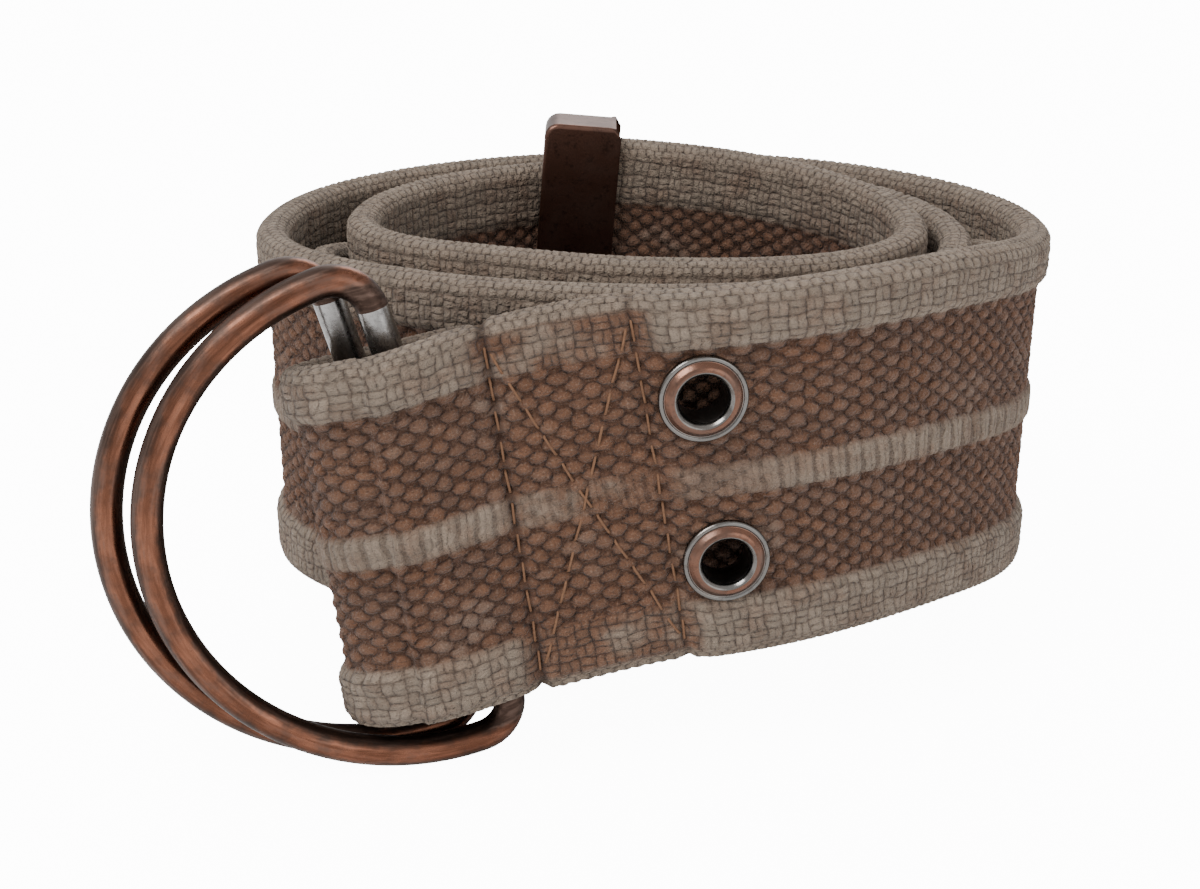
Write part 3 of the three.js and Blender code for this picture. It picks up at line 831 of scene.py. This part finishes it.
def make_tip():
    """The metal tip: a bevelled block, its open end pushed in as a slot."""
    middle, along, up, out = frame_at(TIP_QUARTER)
    thickness = STRAP_THICKNESS + 2 * (CLEARANCE + TIP_WALL)
    height = STRAP_WIDTH + 2 * TIP_OVERHANG
    bm = bmesh.new()
    bmesh.ops.create_cube(bm, size=1)
    bmesh.ops.scale(bm, vec=(TIP_LENGTH, height, thickness), verts=bm.verts)
    bmesh.ops.translate(bm, vec=(TIP_LENGTH / 2, 0, 0), verts=bm.verts)
    open_end = min(bm.faces, key=lambda f: f.calc_center_median().x)
    bmesh.ops.inset_individual(bm, faces=[open_end], thickness=TIP_WALL, use_even_offset=True)
    bmesh.ops.translate(bm, vec=(TIP_LENGTH - TIP_WALL, 0, 0), verts=open_end.verts)
    corners = [e for e in bm.edges if all(abs(abs(v.co.y) - height / 2) < 1e-4 for v in e.verts)]
    uprights = [e for e in corners if abs(e.verts[0].co.z - e.verts[1].co.z) > thickness / 2]
    bmesh.ops.bevel(
        bm, geom=uprights, offset=TIP_CORNER, affect="EDGES", segments=5, profile=0.5, material=-1
    )
    outer = [
        e
        for e in bm.edges
        if len(e.link_faces) == 2
        and e.calc_face_angle(0) > 0.6
        and all(abs(abs(v.co.z) - thickness / 2) < 1e-4 for v in e.verts)
    ]
    bmesh.ops.bevel(
        bm, geom=outer, offset=TIP_EDGE, affect="EDGES", segments=4, profile=0.5, material=-1
    )
    bmesh.ops.recalc_face_normals(bm, faces=bm.faces)
    start = middle + along * (TIP_WALL + CLEARANCE - TIP_LENGTH)
    bmesh.ops.transform(bm, matrix=place_at(start, along, up, out), verts=bm.verts)
    obj = new_object("tip_cap_worn", bm, [finish("dark_copper_tip")])
    weighted = obj.modifiers.new("flat_faces", "WEIGHTED_NORMAL")
    weighted.keep_sharp = True
    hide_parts("tip_cap")
    return obj


def stitch_lines():
    """Ends of each row of stitches: distance from the fold and place across, at both ends."""
    near, far = LOOP_LENGTH + CROSS_FROM_SEAM, SEAM_B - CROSS_FROM_SEAM
    return (
        (LOOP_LENGTH, -SEAM_REACH, LOOP_LENGTH, SEAM_REACH),
        (SEAM_B, -SEAM_REACH, SEAM_B, SEAM_REACH),
        (near, STITCHED_CROSS_REACH, far, -STITCHED_CROSS_REACH),
        (near, -STITCHED_CROSS_REACH, far, STITCHED_CROSS_REACH),
    )


def make_stitches():
    """The thread that shows on the front ply, one thin stitch after another."""
    pitch = bpy.context.scene.belt_webbing.stitch_pitch / MM
    bm = bmesh.new()
    for start_run, start_across, end_run, end_across in stitch_lines():
        reach = math.hypot(end_run - start_run, end_across - start_across)
        count = max(2, round(reach / pitch))
        for k in range(count):
            share = (k + 0.5) / count
            distance = start_run + (end_run - start_run) * share
            across = start_across + (end_across - start_across) * share
            angle = math.atan2(end_across - start_across, end_run - start_run)
            angle += STITCH_TURN * (hashed(k, reach) - 0.5)
            add_stitch(bm, distance, across, angle, reach / count - STITCH_GAP)
    bmesh.ops.recalc_face_normals(bm, faces=bm.faces)
    obj = new_object("stitches", bm, [finish("sewing_thread")])
    return obj


def face_height(distance, across):
    """Height of the outer face above the middle of the webbing, without its weave."""
    mark, share, middle, up, out = (v[0] for v in along_path(np.array([run_at(distance)])))
    row_across, proud = section(FACE_POINTS, EDGE_POINTS, np.array([share]))
    height = np.interp(across, row_across[:FACE_POINTS][::-1], proud[0, :FACE_POINTS][::-1])
    height += float(bulge(mark)) - float(seam_press(mark, np.array(across)))
    return middle + up * across, up, out, height


def stitch_rows(distance, across, angle, length):
    """Places along one stitch, each with its sideways and outward directions."""
    rows = []
    for k in range(STITCH_STEPS + 1):
        t = k / STITCH_STEPS - 0.5
        at, up, out, height = face_height(
            distance + t * length * math.cos(angle), across + t * length * math.sin(angle)
        )
        dive = STITCH_DIVE * (2 * abs(t)) ** 6
        forward = np.cross(up, out) * math.cos(angle) + up * math.sin(angle)
        place = at + out * (height + STITCH_LIFT - dive) + COIL_PLACE
        rows.append((place, np.cross(out, forward), out))
    return rows


def add_stitch(bm, distance, across, angle, length):
    """One stitch: a thin cylinder, cut along its length and bent to dive into the webbing."""
    radius = bpy.context.scene.belt_webbing.thread_radius / MM
    points, edges = len(bm.verts), len(bm.edges)
    bmesh.ops.create_cone(
        bm, cap_ends=True, segments=THREAD_SIDES, radius1=radius, radius2=radius, depth=1
    )
    lengthwise = [e for e in list(bm.edges)[edges:] if abs(e.verts[0].co.z - e.verts[1].co.z) > 0.5]
    bmesh.ops.subdivide_edges(bm, edges=lengthwise, cuts=STITCH_STEPS - 1, use_grid_fill=True)
    rows = stitch_rows(distance, across, angle, length)
    for vert in list(bm.verts)[points:]:
        place, sideways, out = rows[round((vert.co.z + 0.5) * STITCH_STEPS)]
        vert.co = place + sideways * vert.co.y - out * vert.co.x


# Finishes


class Nodes:
    """Short calls that add and join the nodes of one tree."""

    def __init__(self, tree):
        self.tree = tree

    def add(self, kind, **values):
        node = self.tree.nodes.new(kind)
        for name, value in values.items():
            setattr(node, name, value)
        return node

    def put(self, socket, value):
        if isinstance(value, bpy.types.NodeSocket):
            self.tree.links.new(value, socket)
        elif value is not None:
            socket.default_value = value

    def maths(self, operation, a, b=None, clamp=False):
        node = self.add("ShaderNodeMath", operation=operation, use_clamp=clamp)
        self.put(node.inputs[0], a)
        self.put(node.inputs[1], b)
        return node.outputs[0]

    def plus(self, a, b, clamp=False):
        return self.maths("ADD", a, b, clamp)

    def minus(self, a, b):
        return self.maths("SUBTRACT", a, b)

    def times(self, a, b, clamp=False):
        return self.maths("MULTIPLY", a, b, clamp)

    def over(self, a, b):
        return self.maths("DIVIDE", a, b)

    def blend(self, a, b, share):
        return self.plus(a, self.times(self.minus(b, a), share))

    def mix(self, share, a, b, blend="MIX"):
        node = self.add("ShaderNodeMix", data_type="RGBA", blend_type=blend)
        self.put(node.inputs[0], share)
        self.put(node.inputs[6], a)
        self.put(node.inputs[7], b)
        return node.outputs[2]

    def grey(self, value):
        node = self.add("ShaderNodeCombineColor")
        for socket in node.inputs:
            self.put(socket, value)
        return node.outputs[0]

    def noise(self, vector, scale, detail=3.0, roughness=0.55):
        node = self.add("ShaderNodeTexNoise")
        self.put(node.inputs["Vector"], vector)
        node.inputs["Scale"].default_value = scale
        node.inputs["Detail"].default_value = detail
        node.inputs["Roughness"].default_value = roughness
        return node.outputs["Fac"]

    def ramp(self, value, low, high):
        node = self.add("ShaderNodeMapRange", interpolation_type="SMOOTHSTEP", clamp=True)
        self.put(node.inputs["Value"], value)
        node.inputs["From Min"].default_value = low
        node.inputs["From Max"].default_value = high
        return node.outputs["Result"]

    def bump(self, height, strength, distance, normal=None):
        node = self.add("ShaderNodeBump")
        node.inputs["Strength"].default_value = strength
        node.inputs["Distance"].default_value = distance
        self.put(node.inputs["Height"], height)
        self.put(node.inputs["Normal"], normal)
        return node.outputs[0]


def fill_fibres(n, given, result):
    """Fine twisted fibres: slanting bands broken up by noise."""
    wave = n.add("ShaderNodeTexWave", wave_type="BANDS", bands_direction="DIAGONAL")
    n.put(wave.inputs["Vector"], given["Map"])
    wave.inputs["Scale"].default_value = 420.0
    wave.inputs["Distortion"].default_value = 7.0
    wave.inputs["Detail"].default_value = 2.0
    wave.inputs["Detail Scale"].default_value = 1.6
    fuzz = n.noise(given["Map"], 3400.0, 2.0)
    n.put(result["Mask"], fuzz)
    n.put(result["Height"], n.plus(n.times(wave.outputs["Fac"], 0.6), fuzz))


def wandering(n, flat_map, amount):
    """Both directions of the map in millimetres, each pushed about a little by noise."""
    split = n.add("ShaderNodeSeparateXYZ")
    n.put(split.inputs[0], flat_map)
    moved = []
    for k, scale in ((0, 260.0), (1, 310.0)):
        push = n.times(n.minus(n.noise(flat_map, scale, 2.0), 0.5), amount)
        moved.append(n.plus(n.over(split.outputs[k], MM), push))
    return moved


def dome_at(n, run, girth, shifts, size=1.0):
    """Height of one lattice of pebbles, and a number for each of its pebbles."""
    dome = 1.0
    number = shifts[0]
    for value, pitch, half, shift, factor in (
        (run, PEBBLE_ALONG, PEBBLE_HALF_ALONG, shifts[0], 7.31),
        (girth, PEBBLE_ACROSS, PEBBLE_HALF_ACROSS, shifts[1], 3.17),
    ):
        place = n.minus(n.over(value, pitch), shift)
        nearest = n.maths("ROUND", place)
        off = n.times(n.minus(place, nearest), pitch / (half * size))
        dome = n.minus(dome, n.times(off, off))
        number = n.plus(number, n.times(nearest, factor))
    return n.maths("SQRT", n.maths("MAXIMUM", dome, 0.0)), number


def fill_pebbles(n, given, result):
    """Staggered pebbles, with the threads under them showing in between."""
    run, girth = wandering(n, given["Map"], 1.9)
    even, even_number = dome_at(n, run, girth, (0.0, 0.0))
    odd, odd_number = dome_at(n, run, girth, (0.5, 0.5))
    beside = dome_at(n, run, girth, (0.5, 0.0), UNDER_SHARE)[0]
    above = dome_at(n, run, girth, (0.0, 0.5), UNDER_SHARE)[0]
    is_odd = n.maths("GREATER_THAN", odd, even)
    lead = n.times(n.minus(odd_number, even_number), is_odd)
    tint = n.add("ShaderNodeTexWhiteNoise", noise_dimensions="1D")
    n.put(tint.inputs["W"], n.plus(even_number, lead))
    under = n.times(n.maths("MAXIMUM", beside, above), UNDER_HEIGHT)
    n.put(result["Height"], n.maths("MAXIMUM", n.maths("MAXIMUM", even, odd), under))
    n.put(result["Tint"], tint.outputs["Value"])


def fill_basket(n, given, result):
    run, girth = wandering(n, given["Map"], 1.5)
    u, v = n.over(run, THREAD_CELL), n.over(girth, THREAD_CELL)
    cells = n.plus(n.maths("FLOOR", u), n.maths("FLOOR", v))
    crosses = n.maths("PINGPONG", cells, 1.0)
    pair = n.maths("ABSOLUTE", n.maths("SINE", n.times(n.blend(v, u, crosses), 2 * math.pi)))
    dome = n.maths("ABSOLUTE", n.maths("SINE", n.times(n.blend(u, v, crosses), math.pi)))
    pair = n.plus(n.times(n.maths("SQRT", pair), 0.75), 0.25)
    tint = n.add("ShaderNodeTexWhiteNoise", noise_dimensions="1D")
    n.put(tint.inputs["W"], n.plus(n.times(n.maths("FLOOR", u), 5.3), n.maths("FLOOR", v)))
    n.put(result["Height"], n.times(n.maths("SQRT", dome), pair))
    n.put(result["Tint"], tint.outputs["Value"])


def fill_ladder(n, given, result):
    run = wandering(n, given["Map"], 1.5)[0]
    turn = n.maths("FRACT", n.over(run, LADDER_PITCH))
    off = n.maths("ABSOLUTE", n.minus(turn, 0.5))
    off = n.over(n.maths("ABSOLUTE", n.minus(off, PAIR_OFFSET)), THREAD_SHARE)
    dome = n.minus(1.0, n.times(off, off))
    height = n.maths("SQRT", n.maths("MAXIMUM", dome, 0.0))
    n.put(result["Height"], n.plus(n.times(height, 0.58), 0.42))


def fill_rope(n, given, result):
    run, girth = wandering(n, given["Map"], 1.0)
    row = n.over(girth, ROPE_ROW)
    turn = n.plus(n.over(run, ROPE_PITCH), n.times(n.maths("FLOOR", row), 0.5))
    wave = n.maths("SQRT", n.maths("ABSOLUTE", n.maths("COSINE", n.times(turn, math.pi))))
    ridge = n.maths("SQRT", n.maths("ABSOLUTE", n.maths("SINE", n.times(row, math.pi))))
    n.put(result["Height"], n.times(wave, n.plus(n.times(ridge, 0.6), 0.4)))


def fill_wear(n, given, result):
    """Patches of wear on a plated metal from a place in metres: large, small and scratches."""
    n.put(result["Patches"], n.ramp(n.noise(given["Map"], 190.0, 5.0, 0.65), 0.38, 0.66))
    n.put(result["Specks"], n.ramp(n.noise(given["Map"], 900.0, 4.0, 0.7), 0.5, 0.72))
    n.put(result["Grain"], n.noise(given["Map"], 2600.0, 3.0))


# Shader groups that materials share: what each puts out, and what fills it
EFFECTS = {
    "twisted_fibres": (("Mask", "Height"), fill_fibres),
    "pebble_weave": (("Height", "Tint"), fill_pebbles),
    "basket_weave": (("Height", "Tint"), fill_basket),
    "ladder_of_pairs": (("Height",), fill_ladder),
    "rope_edge": (("Height",), fill_rope),
    "plating_wear": (("Patches", "Specks", "Grain"), fill_wear),
}


def effect(n, name, place):
    """Adds a shared group to a material, fed with a map, and makes the group at its first use."""
    group = bpy.data.node_groups.get(name)
    if group is None:
        results, fill = EFFECTS[name]
        group = bpy.data.node_groups.new(name, "ShaderNodeTree")
        group.interface.new_socket(name="Map", in_out="INPUT", socket_type="NodeSocketVector")
        for label in results:
            group.interface.new_socket(name=label, in_out="OUTPUT", socket_type="NodeSocketFloat")
        inner = Nodes(group)
        given, result = inner.add("NodeGroupInput"), inner.add("NodeGroupOutput")
        fill(inner, given.outputs, result.inputs)
    node = n.add("ShaderNodeGroup")
    node.node_tree = group
    n.put(node.inputs["Map"], place)
    return node.outputs


def rgba(colour):
    return (colour[0], colour[1], colour[2], 1.0)


def fill_webbing(n, shader):
    """Coarse cotton canvas: brown body, paler bands and middle rib, dye worn off the crests, painted
    shade between the threads and in the seams' grooves.
    """
    looks = bpy.context.scene.belt_webbing
    zones = n.add("ShaderNodeAttribute", attribute_name="zones")
    split = n.add("ShaderNodeSeparateColor")
    n.put(split.inputs[0], zones.outputs["Color"])
    edge, band, rib = split.outputs[0], split.outputs[1], split.outputs[2]
    fade = n.ramp(zones.outputs["Alpha"], 0.3, 0.95)
    pressed = n.add("ShaderNodeAttribute", attribute_name="pressed").outputs["Fac"]
    flat_map = n.add("ShaderNodeUVMap", uv_map="webbing").outputs[0]
    pebble = effect(n, "pebble_weave", flat_map)
    basket_weave = effect(n, "basket_weave", flat_map)
    rungs = effect(n, "ladder_of_pairs", flat_map)["Height"]
    turns = effect(n, "rope_edge", flat_map)["Height"]
    fibres = effect(n, "twisted_fibres", flat_map)
    patch = n.noise(flat_map, 75.0, 4.0, 0.6)
    mottle = n.noise(flat_map, 210.0, 4.0, 0.6)
    # Height of the weave at each place
    crest = n.blend(pebble["Height"], basket_weave["Height"], band)
    crest = n.blend(crest, rungs, n.times(rib, n.blend(0.7, 1.0, fade)))
    crest = n.blend(crest, turns, edge)
    # Fluff hides the weave in places, and loose fibres blur its crevices
    fluff = n.times(n.ramp(n.noise(flat_map, 900.0, 3.0, 0.65), 0.46, 0.7), 0.62)
    crest = n.blend(crest, 0.7, fluff)
    crest = n.plus(crest, n.times(n.minus(fibres["Mask"], 0.5), 0.7), clamp=True)
    tint = n.blend(pebble["Tint"], basket_weave["Tint"], band)
    high = n.ramp(crest, 0.08, 1.0)
    # Body: redder where the sewing kept the dye, greyer where it is rubbed, with painted shade between
    # the threads
    dyed = n.mix(high, rgba(looks.body_painted_shade), rgba(looks.body_fresh))
    rubbed = n.mix(high, rgba(looks.body_painted_shade), rgba(looks.body_crest))
    wear = n.times(n.ramp(mottle, 0.3, 0.68), n.blend(0.35, 1.0, fade))
    body = n.mix(wear, dyed, rubbed)
    grey = n.times(n.ramp(patch, 0.5, 0.72), n.ramp(tint, 0.25, 1.0))
    body = n.mix(n.times(grey, n.times(high, 0.8)), body, rgba(looks.body_worn))
    # Bands: painted shade between their threads, their own pale colour on the crests
    pale = n.mix(n.ramp(crest, -0.25, 0.95), rgba(looks.band_painted_shade), rgba(looks.band_crest))
    # The bands keep their pale colour in patches only where the sewing pressed dye into them
    shown = n.blend(n.plus(n.times(n.ramp(patch, 0.47, 0.6), 0.7), 0.08), 1.0, fade)
    shown = n.times(shown, n.blend(0.62, 1.0, n.ramp(mottle, 0.34, 0.56)))
    striped = n.times(rib, n.blend(0.85, 0.9, fade))
    light = n.times(n.maths("MAXIMUM", band, striped), shown)
    light = n.maths("MAXIMUM", light, n.times(edge, 0.9))
    colour = n.mix(light, body, pale)
    dust = n.times(n.ramp(fibres["Mask"], 0.5, 0.75), n.times(high, 0.3))
    colour = n.mix(dust, colour, rgba(looks.fibre))
    tone = n.blend(0.86, 1.12, tint)
    colour = n.mix(1.0, colour, n.grey(tone), "MULTIPLY")
    # Painted shade in the seams' grooves: the webbing turns to its shade colour where the seams press in
    seam_groove_shade = n.times(n.ramp(pressed, 0.15, 0.95), 0.62, clamp=True)
    colour = n.mix(seam_groove_shade, colour, rgba(looks.body_painted_shade))
    n.put(shader.inputs["Base Color"], colour)
    shader.inputs["Roughness"].default_value = 0.94
    shader.inputs["Specular IOR Level"].default_value = 0.15
    shader.inputs["Sheen Weight"].default_value = 0.08
    shader.inputs["Sheen Roughness"].default_value = 0.6
    weave_normal = n.bump(crest, 0.8, 0.0006)
    n.put(shader.inputs["Normal"], n.bump(fibres["Height"], 0.6, 0.0002, weave_normal))


def fill_thread(n, shader):
    """Brown sewing thread, paler where its twist stands up, with painted shade in the hollows of its
    twist.
    """
    looks = bpy.context.scene.belt_webbing
    twist = n.noise(n.add("ShaderNodeTexCoord").outputs["Object"], 2200.0, 2.0)
    # Painted shade where the twist is low, and the thread's pale colour where it stands up
    colour = n.mix(twist, rgba(looks.thread_painted_shade), rgba(looks.thread_pale))
    n.put(shader.inputs["Base Color"], colour)
    shader.inputs["Roughness"].default_value = 0.75
    n.put(shader.inputs["Normal"], n.bump(twist, 0.4, 0.0001))


def fill_metal(n, shader, bright, dull, deep, rough_low, rough_high, patches_share, grain_depth):
    """Plated metal, worn in patches and specks."""
    bright = bright or bpy.context.scene.belt_metal.nickel
    wear = effect(n, "plating_wear", n.add("ShaderNodeTexCoord").outputs["Object"])
    share = n.times(wear["Patches"], patches_share)
    colour = n.mix(share, rgba(bright), rgba(dull))
    colour = n.mix(n.times(wear["Specks"], 0.6), colour, rgba(deep))
    n.put(shader.inputs["Base Color"], colour)
    shader.inputs["Metallic"].default_value = 1.0
    rough = n.mix(share, (rough_low,) * 3 + (1,), (rough_high,) * 3 + (1,))
    n.put(shader.inputs["Roughness"], rough)
    n.put(shader.inputs["Normal"], n.bump(wear["Grain"], 0.35, grain_depth))


def fill_copper(n, shader):
    """Antiqued copper of the D-rings: rubbed streaks along the wire, dark at its sides."""
    looks = bpy.context.scene.belt_metal
    wire = n.add("ShaderNodeAttribute", attribute_name="wire").outputs["Vector"]
    streak_map = n.add("ShaderNodeMapping")
    n.put(streak_map.inputs["Vector"], wire)
    streak_map.inputs["Scale"].default_value = (0.1, 1.0, 1.0)
    streaks = n.noise(streak_map.outputs[0], 1300.0, 4.0, 0.6)
    blotches = n.noise(wire, 330.0, 4.0, 0.65)
    split = n.add("ShaderNodeSeparateXYZ")
    n.put(split.inputs[0], wire)
    beside = n.over(n.maths("ABSOLUTE", split.outputs[1]), WIRE / 2 * MM)
    uneven = n.times(n.minus(blotches, 0.5), 1.3)
    # The wire darkens towards its inner and outer sides, and stays brighter on its front and back faces
    darker_to_sides = n.ramp(n.plus(beside, uneven), 0.2, 0.85)
    colour = n.mix(n.ramp(streaks, 0.36, 0.64), rgba(looks.copper), rgba(looks.copper_bright))
    dark = n.mix(n.ramp(streaks, 0.4, 0.7), rgba(looks.patina_deep), rgba(looks.copper_dull))
    spread = n.ramp(n.plus(n.times(streaks, 0.8), blotches), 0.8, 1.15)
    share = n.maths("MAXIMUM", darker_to_sides, n.times(spread, 0.7))
    n.put(shader.inputs["Base Color"], n.mix(n.times(share, 0.85), colour, dark))
    shader.inputs["Metallic"].default_value = 1.0
    n.put(shader.inputs["Roughness"], n.blend(0.26, 0.42, share))
    n.put(shader.inputs["Normal"], n.bump(streaks, 0.3, 0.00006))


def fill_paper(n, shader):
    """White paper that glows for the camera only, so that it comes out white."""
    looks = bpy.context.scene.belt_stage
    shader.inputs["Base Color"].default_value = rgba(looks.floor)
    shader.inputs["Roughness"].default_value = 0.9
    seen = n.add("ShaderNodeLightPath").outputs["Is Camera Ray"]
    shader.inputs["Emission Color"].default_value = (1, 1, 1, 1)
    n.put(shader.inputs["Emission Strength"], n.times(seen, looks.glow))


# Bright, dull and deep colours, least and most roughness, share of patches, depth of the grain
METALS = {
    "bare_steel_bar": (
        (0.34, 0.33, 0.32), (0.16, 0.15, 0.145), (0.05, 0.045, 0.045), 0.2, 0.36, 0.6, 0.00004
    ),
    "dark_copper_tip": (
        (0.13, 0.068, 0.05), (0.075, 0.045, 0.036), (0.03, 0.02, 0.018), 0.3, 0.44, 0.6, 0.00003
    ),
    # Its bright colour is the user's
    "worn_nickel": (None, (0.16, 0.14, 0.125), (0.08, 0.06, 0.05), 0.2, 0.34, 0.5, 0.00004),
    "nickel_worn_to_copper": (
        (0.17, 0.085, 0.058), (0.12, 0.08, 0.064), (0.06, 0.042, 0.036), 0.26, 0.4, 0.7, 0.00005
    ),
    "dark_barrel": (
        (0.12, 0.11, 0.105), (0.05, 0.045, 0.04), (0.02, 0.015, 0.014), 0.3, 0.45, 0.7, 0.00004
    ),
}
FILLS = {
    "cotton_webbing": fill_webbing,
    "sewing_thread": fill_thread,
    "antiqued_copper": fill_copper,
    "floor_paper": fill_paper,
}


def finish(name):
    """The material of a name, made the first time it is asked for."""
    if name in bpy.data.materials:
        return bpy.data.materials[name]
    material = bpy.data.materials.new(name)
    material.use_nodes = True
    n, shader = Nodes(material.node_tree), material.node_tree.nodes["Principled BSDF"]
    if name in FILLS:
        FILLS[name](n, shader)
    else:
        fill_metal(n, shader, *METALS[name])
    return material


# What a user may change


def colour_property(label, words, default):
    return bpy.props.FloatVectorProperty(
        name=label, description=words, subtype="COLOR", size=3, min=0, max=1, default=default
    )


class WebbingLooks(bpy.types.PropertyGroup):
    # Painted shade: the body's colour deep between its threads and in the seams' grooves
    body_painted_shade: colour_property("Body between threads", "Dye deep in the weave", (0.034, 0.0155, 0.0095))
    body_fresh: colour_property("Body threads", "Threads that kept their dye", (0.13, 0.06, 0.032))
    body_crest: colour_property("Body rubbed", "Threads with their dye rubbed", (0.122, 0.066, 0.043))
    body_worn: colour_property("Body worn", "Threads that lost dye", (0.15, 0.112, 0.087))
    # Painted shade between the bands' threads
    band_painted_shade: colour_property("Band between threads", "Deep in the bands", (0.062, 0.041, 0.03))
    band_crest: colour_property("Band threads", "Top of the bands' threads", (0.215, 0.168, 0.128))
    # Painted shade in the thread's twist
    thread_painted_shade: colour_property("Thread", "Deep in the thread's twist", (0.09, 0.038, 0.016))
    thread_pale: colour_property("Thread top", "Top of the thread's twist", (0.2, 0.098, 0.046))
    stitch_pitch: bpy.props.FloatProperty(
        name="Stitch pitch", description="Length of one stitch and its gap",
        default=0.0041, min=0.001, unit="LENGTH"
    )
    thread_radius: bpy.props.FloatProperty(
        name="Thread radius", description="Half the thickness of the thread",
        default=0.00017, min=0.00005, unit="LENGTH"
    )
    fibre: colour_property("Loose fibres", "Pale fibres over the weave", (0.24, 0.185, 0.145))


class MetalLooks(bpy.types.PropertyGroup):
    copper: colour_property("Copper", "Plating on the D-rings", (0.12, 0.05, 0.03))
    copper_bright: colour_property("Rubbed copper", "Bright streaks on the D-rings", (0.25, 0.105, 0.064))
    copper_dull: colour_property("Patina", "Patina on the D-rings", (0.085, 0.067, 0.058))
    patina_deep: colour_property("Dark patina", "Darkest patina on the D-rings", (0.035, 0.027, 0.023))
    nickel: colour_property("Nickel", "Plating on the eyelets", (0.17, 0.163, 0.155))


class StageLooks(bpy.types.PropertyGroup):
    floor: colour_property("Floor", "Floor and backdrop", (0.93, 0.93, 0.93))
    glow: bpy.props.FloatProperty(
        name="Paper glow", description="Light the paper adds for the camera", default=12.0, min=0
    )
    key_power: bpy.props.FloatProperty(
        name="Key light", description="Power of the soft light from the upper left",
        default=7.0, min=0, unit="POWER"
    )
    lens: bpy.props.FloatProperty(
        name="Lens", description="Focal length of the camera",
        default=57.0, min=1, subtype="DISTANCE_CAMERA", unit="CAMERA"
    )


# Operators


class BELT_OT_webbing(bpy.types.Operator):
    """Coiled webbing with its sewn loop, in five stretches"""

    bl_idname = "belt.webbing"
    bl_label = "Webbing"

    def execute(self, context):
        for row in STRETCHES:
            make_stretch(*row)
        return {"FINISHED"}


class BELT_OT_stitches(bpy.types.Operator):
    """Rows of stitches that close the loop"""

    bl_idname = "belt.stitches"
    bl_label = "Stitches"

    def execute(self, context):
        make_stitches()
        return {"FINISHED"}


class BELT_OT_eyelets(bpy.types.Operator):
    """Eyelets beside the loop and near the tip"""

    bl_idname = "belt.eyelets"
    bl_label = "Eyelets"

    def execute(self, context):
        for name, distance, height in eyelet_spots():
            make_eyelet(name, distance, height)
        return {"FINISHED"}


class BELT_OT_rings(bpy.types.Operator):
    """Both D-rings"""

    bl_idname = "belt.rings"
    bl_label = "D-rings"

    def execute(self, context):
        for row in RINGS:
            make_ring(*row)
        return {"FINISHED"}


class BELT_OT_tip(bpy.types.Operator):
    """Metal tip"""

    bl_idname = "belt.tip"
    bl_label = "Metal tip"

    def execute(self, context):
        make_tip()
        return {"FINISHED"}


def add_light(name, place, size, power):
    """A round soft light that faces the belt."""
    data = bpy.data.lights.new(name, "AREA")
    data.shape = "DISK"
    data.size = size
    data.energy = power
    light = add_object(name, data)
    light.location = place
    light.rotation_euler = (Vector(LIGHT_TARGET) - Vector(place)).to_track_quat("-Z", "Y").to_euler()


def add_sky(glow):
    """White surroundings that look as bright to the camera as the paper."""
    world = bpy.data.worlds.new("studio")
    world.use_nodes = True
    background = world.node_tree.nodes["Background"]
    background.inputs[0].default_value = (1, 1, 1, 1)
    sky = Nodes(world.node_tree)
    seen = sky.add("ShaderNodeLightPath").outputs["Is Camera Ray"]
    sky.put(background.inputs[1], sky.plus(sky.times(seen, glow), WORLD_LIGHT))
    bpy.context.scene.world = world


class BELT_OT_stage(bpy.types.Operator):
    """Pale floor, soft studio light and the camera"""

    bl_idname = "belt.stage"
    bl_label = "Stage"

    def execute(self, context):
        looks = context.scene.belt_stage
        bm = bmesh.new()
        bmesh.ops.create_grid(bm, x_segments=2, y_segments=2, size=3.0)
        mesh = bpy.data.meshes.new("floor")
        bm.to_mesh(mesh)
        bm.free()
        floor = add_object("floor", mesh)
        mesh.materials.append(finish("floor_paper"))
        add_sky(looks.glow)
        for name, place, size, share in LIGHTS:
            add_light(name, place, size, looks.key_power * share)
        camera = add_object("camera", bpy.data.cameras.new("camera"))
        camera.data.lens = looks.lens
        camera.location = [(CAMERA_PLACE[k] + COIL_PLACE[k]) * MM for k in range(3)]
        camera.rotation_euler = (math.radians(90 - CAMERA_DROP), 0, 0)
        camera.data.clip_start = 0.01
        context.scene.camera = camera
        return {"FINISHED"}


class BELT_PT_panel(bpy.types.Panel):
    """Everything that builds the belt"""

    bl_idname = "BELT_PT_panel"
    bl_label = "Webbing belt"
    bl_space_type = "VIEW_3D"
    bl_region_type = "UI"
    bl_category = "Belt"

    def draw(self, context):
        layout = self.layout
        for operator in OPERATORS:
            layout.operator(operator.bl_idname)
        for group in (context.scene.belt_webbing, context.scene.belt_metal, context.scene.belt_stage):
            box = layout.box()
            for name in group.bl_rna.properties.keys():
                if name not in {"rna_type", "name"}:
                    box.prop(group, name)


OPERATORS = (
    BELT_OT_stage,
    BELT_OT_webbing,
    BELT_OT_stitches,
    BELT_OT_eyelets,
    BELT_OT_rings,
    BELT_OT_tip,
)
GROUPS = (
    ("belt_webbing", WebbingLooks),
    ("belt_metal", MetalLooks),
    ("belt_stage", StageLooks),
)


def register():
    for name, group in GROUPS:
        bpy.utils.register_class(group)
        setattr(bpy.types.Scene, name, bpy.props.PointerProperty(type=group))
    for operator in OPERATORS:
        bpy.utils.register_class(operator)
    bpy.utils.register_class(BELT_PT_panel)


def unregister():
    bpy.utils.unregister_class(BELT_PT_panel)
    for operator in reversed(OPERATORS):
        bpy.utils.unregister_class(operator)
    for name, group in reversed(GROUPS):
        delattr(bpy.types.Scene, name)
        bpy.utils.unregister_class(group)


def main():
    register()
    for operator in OPERATORS:
        group, name = operator.bl_idname.split(".")
        getattr(getattr(bpy.ops, group), name)()


if __name__ == "__main__":
    main()
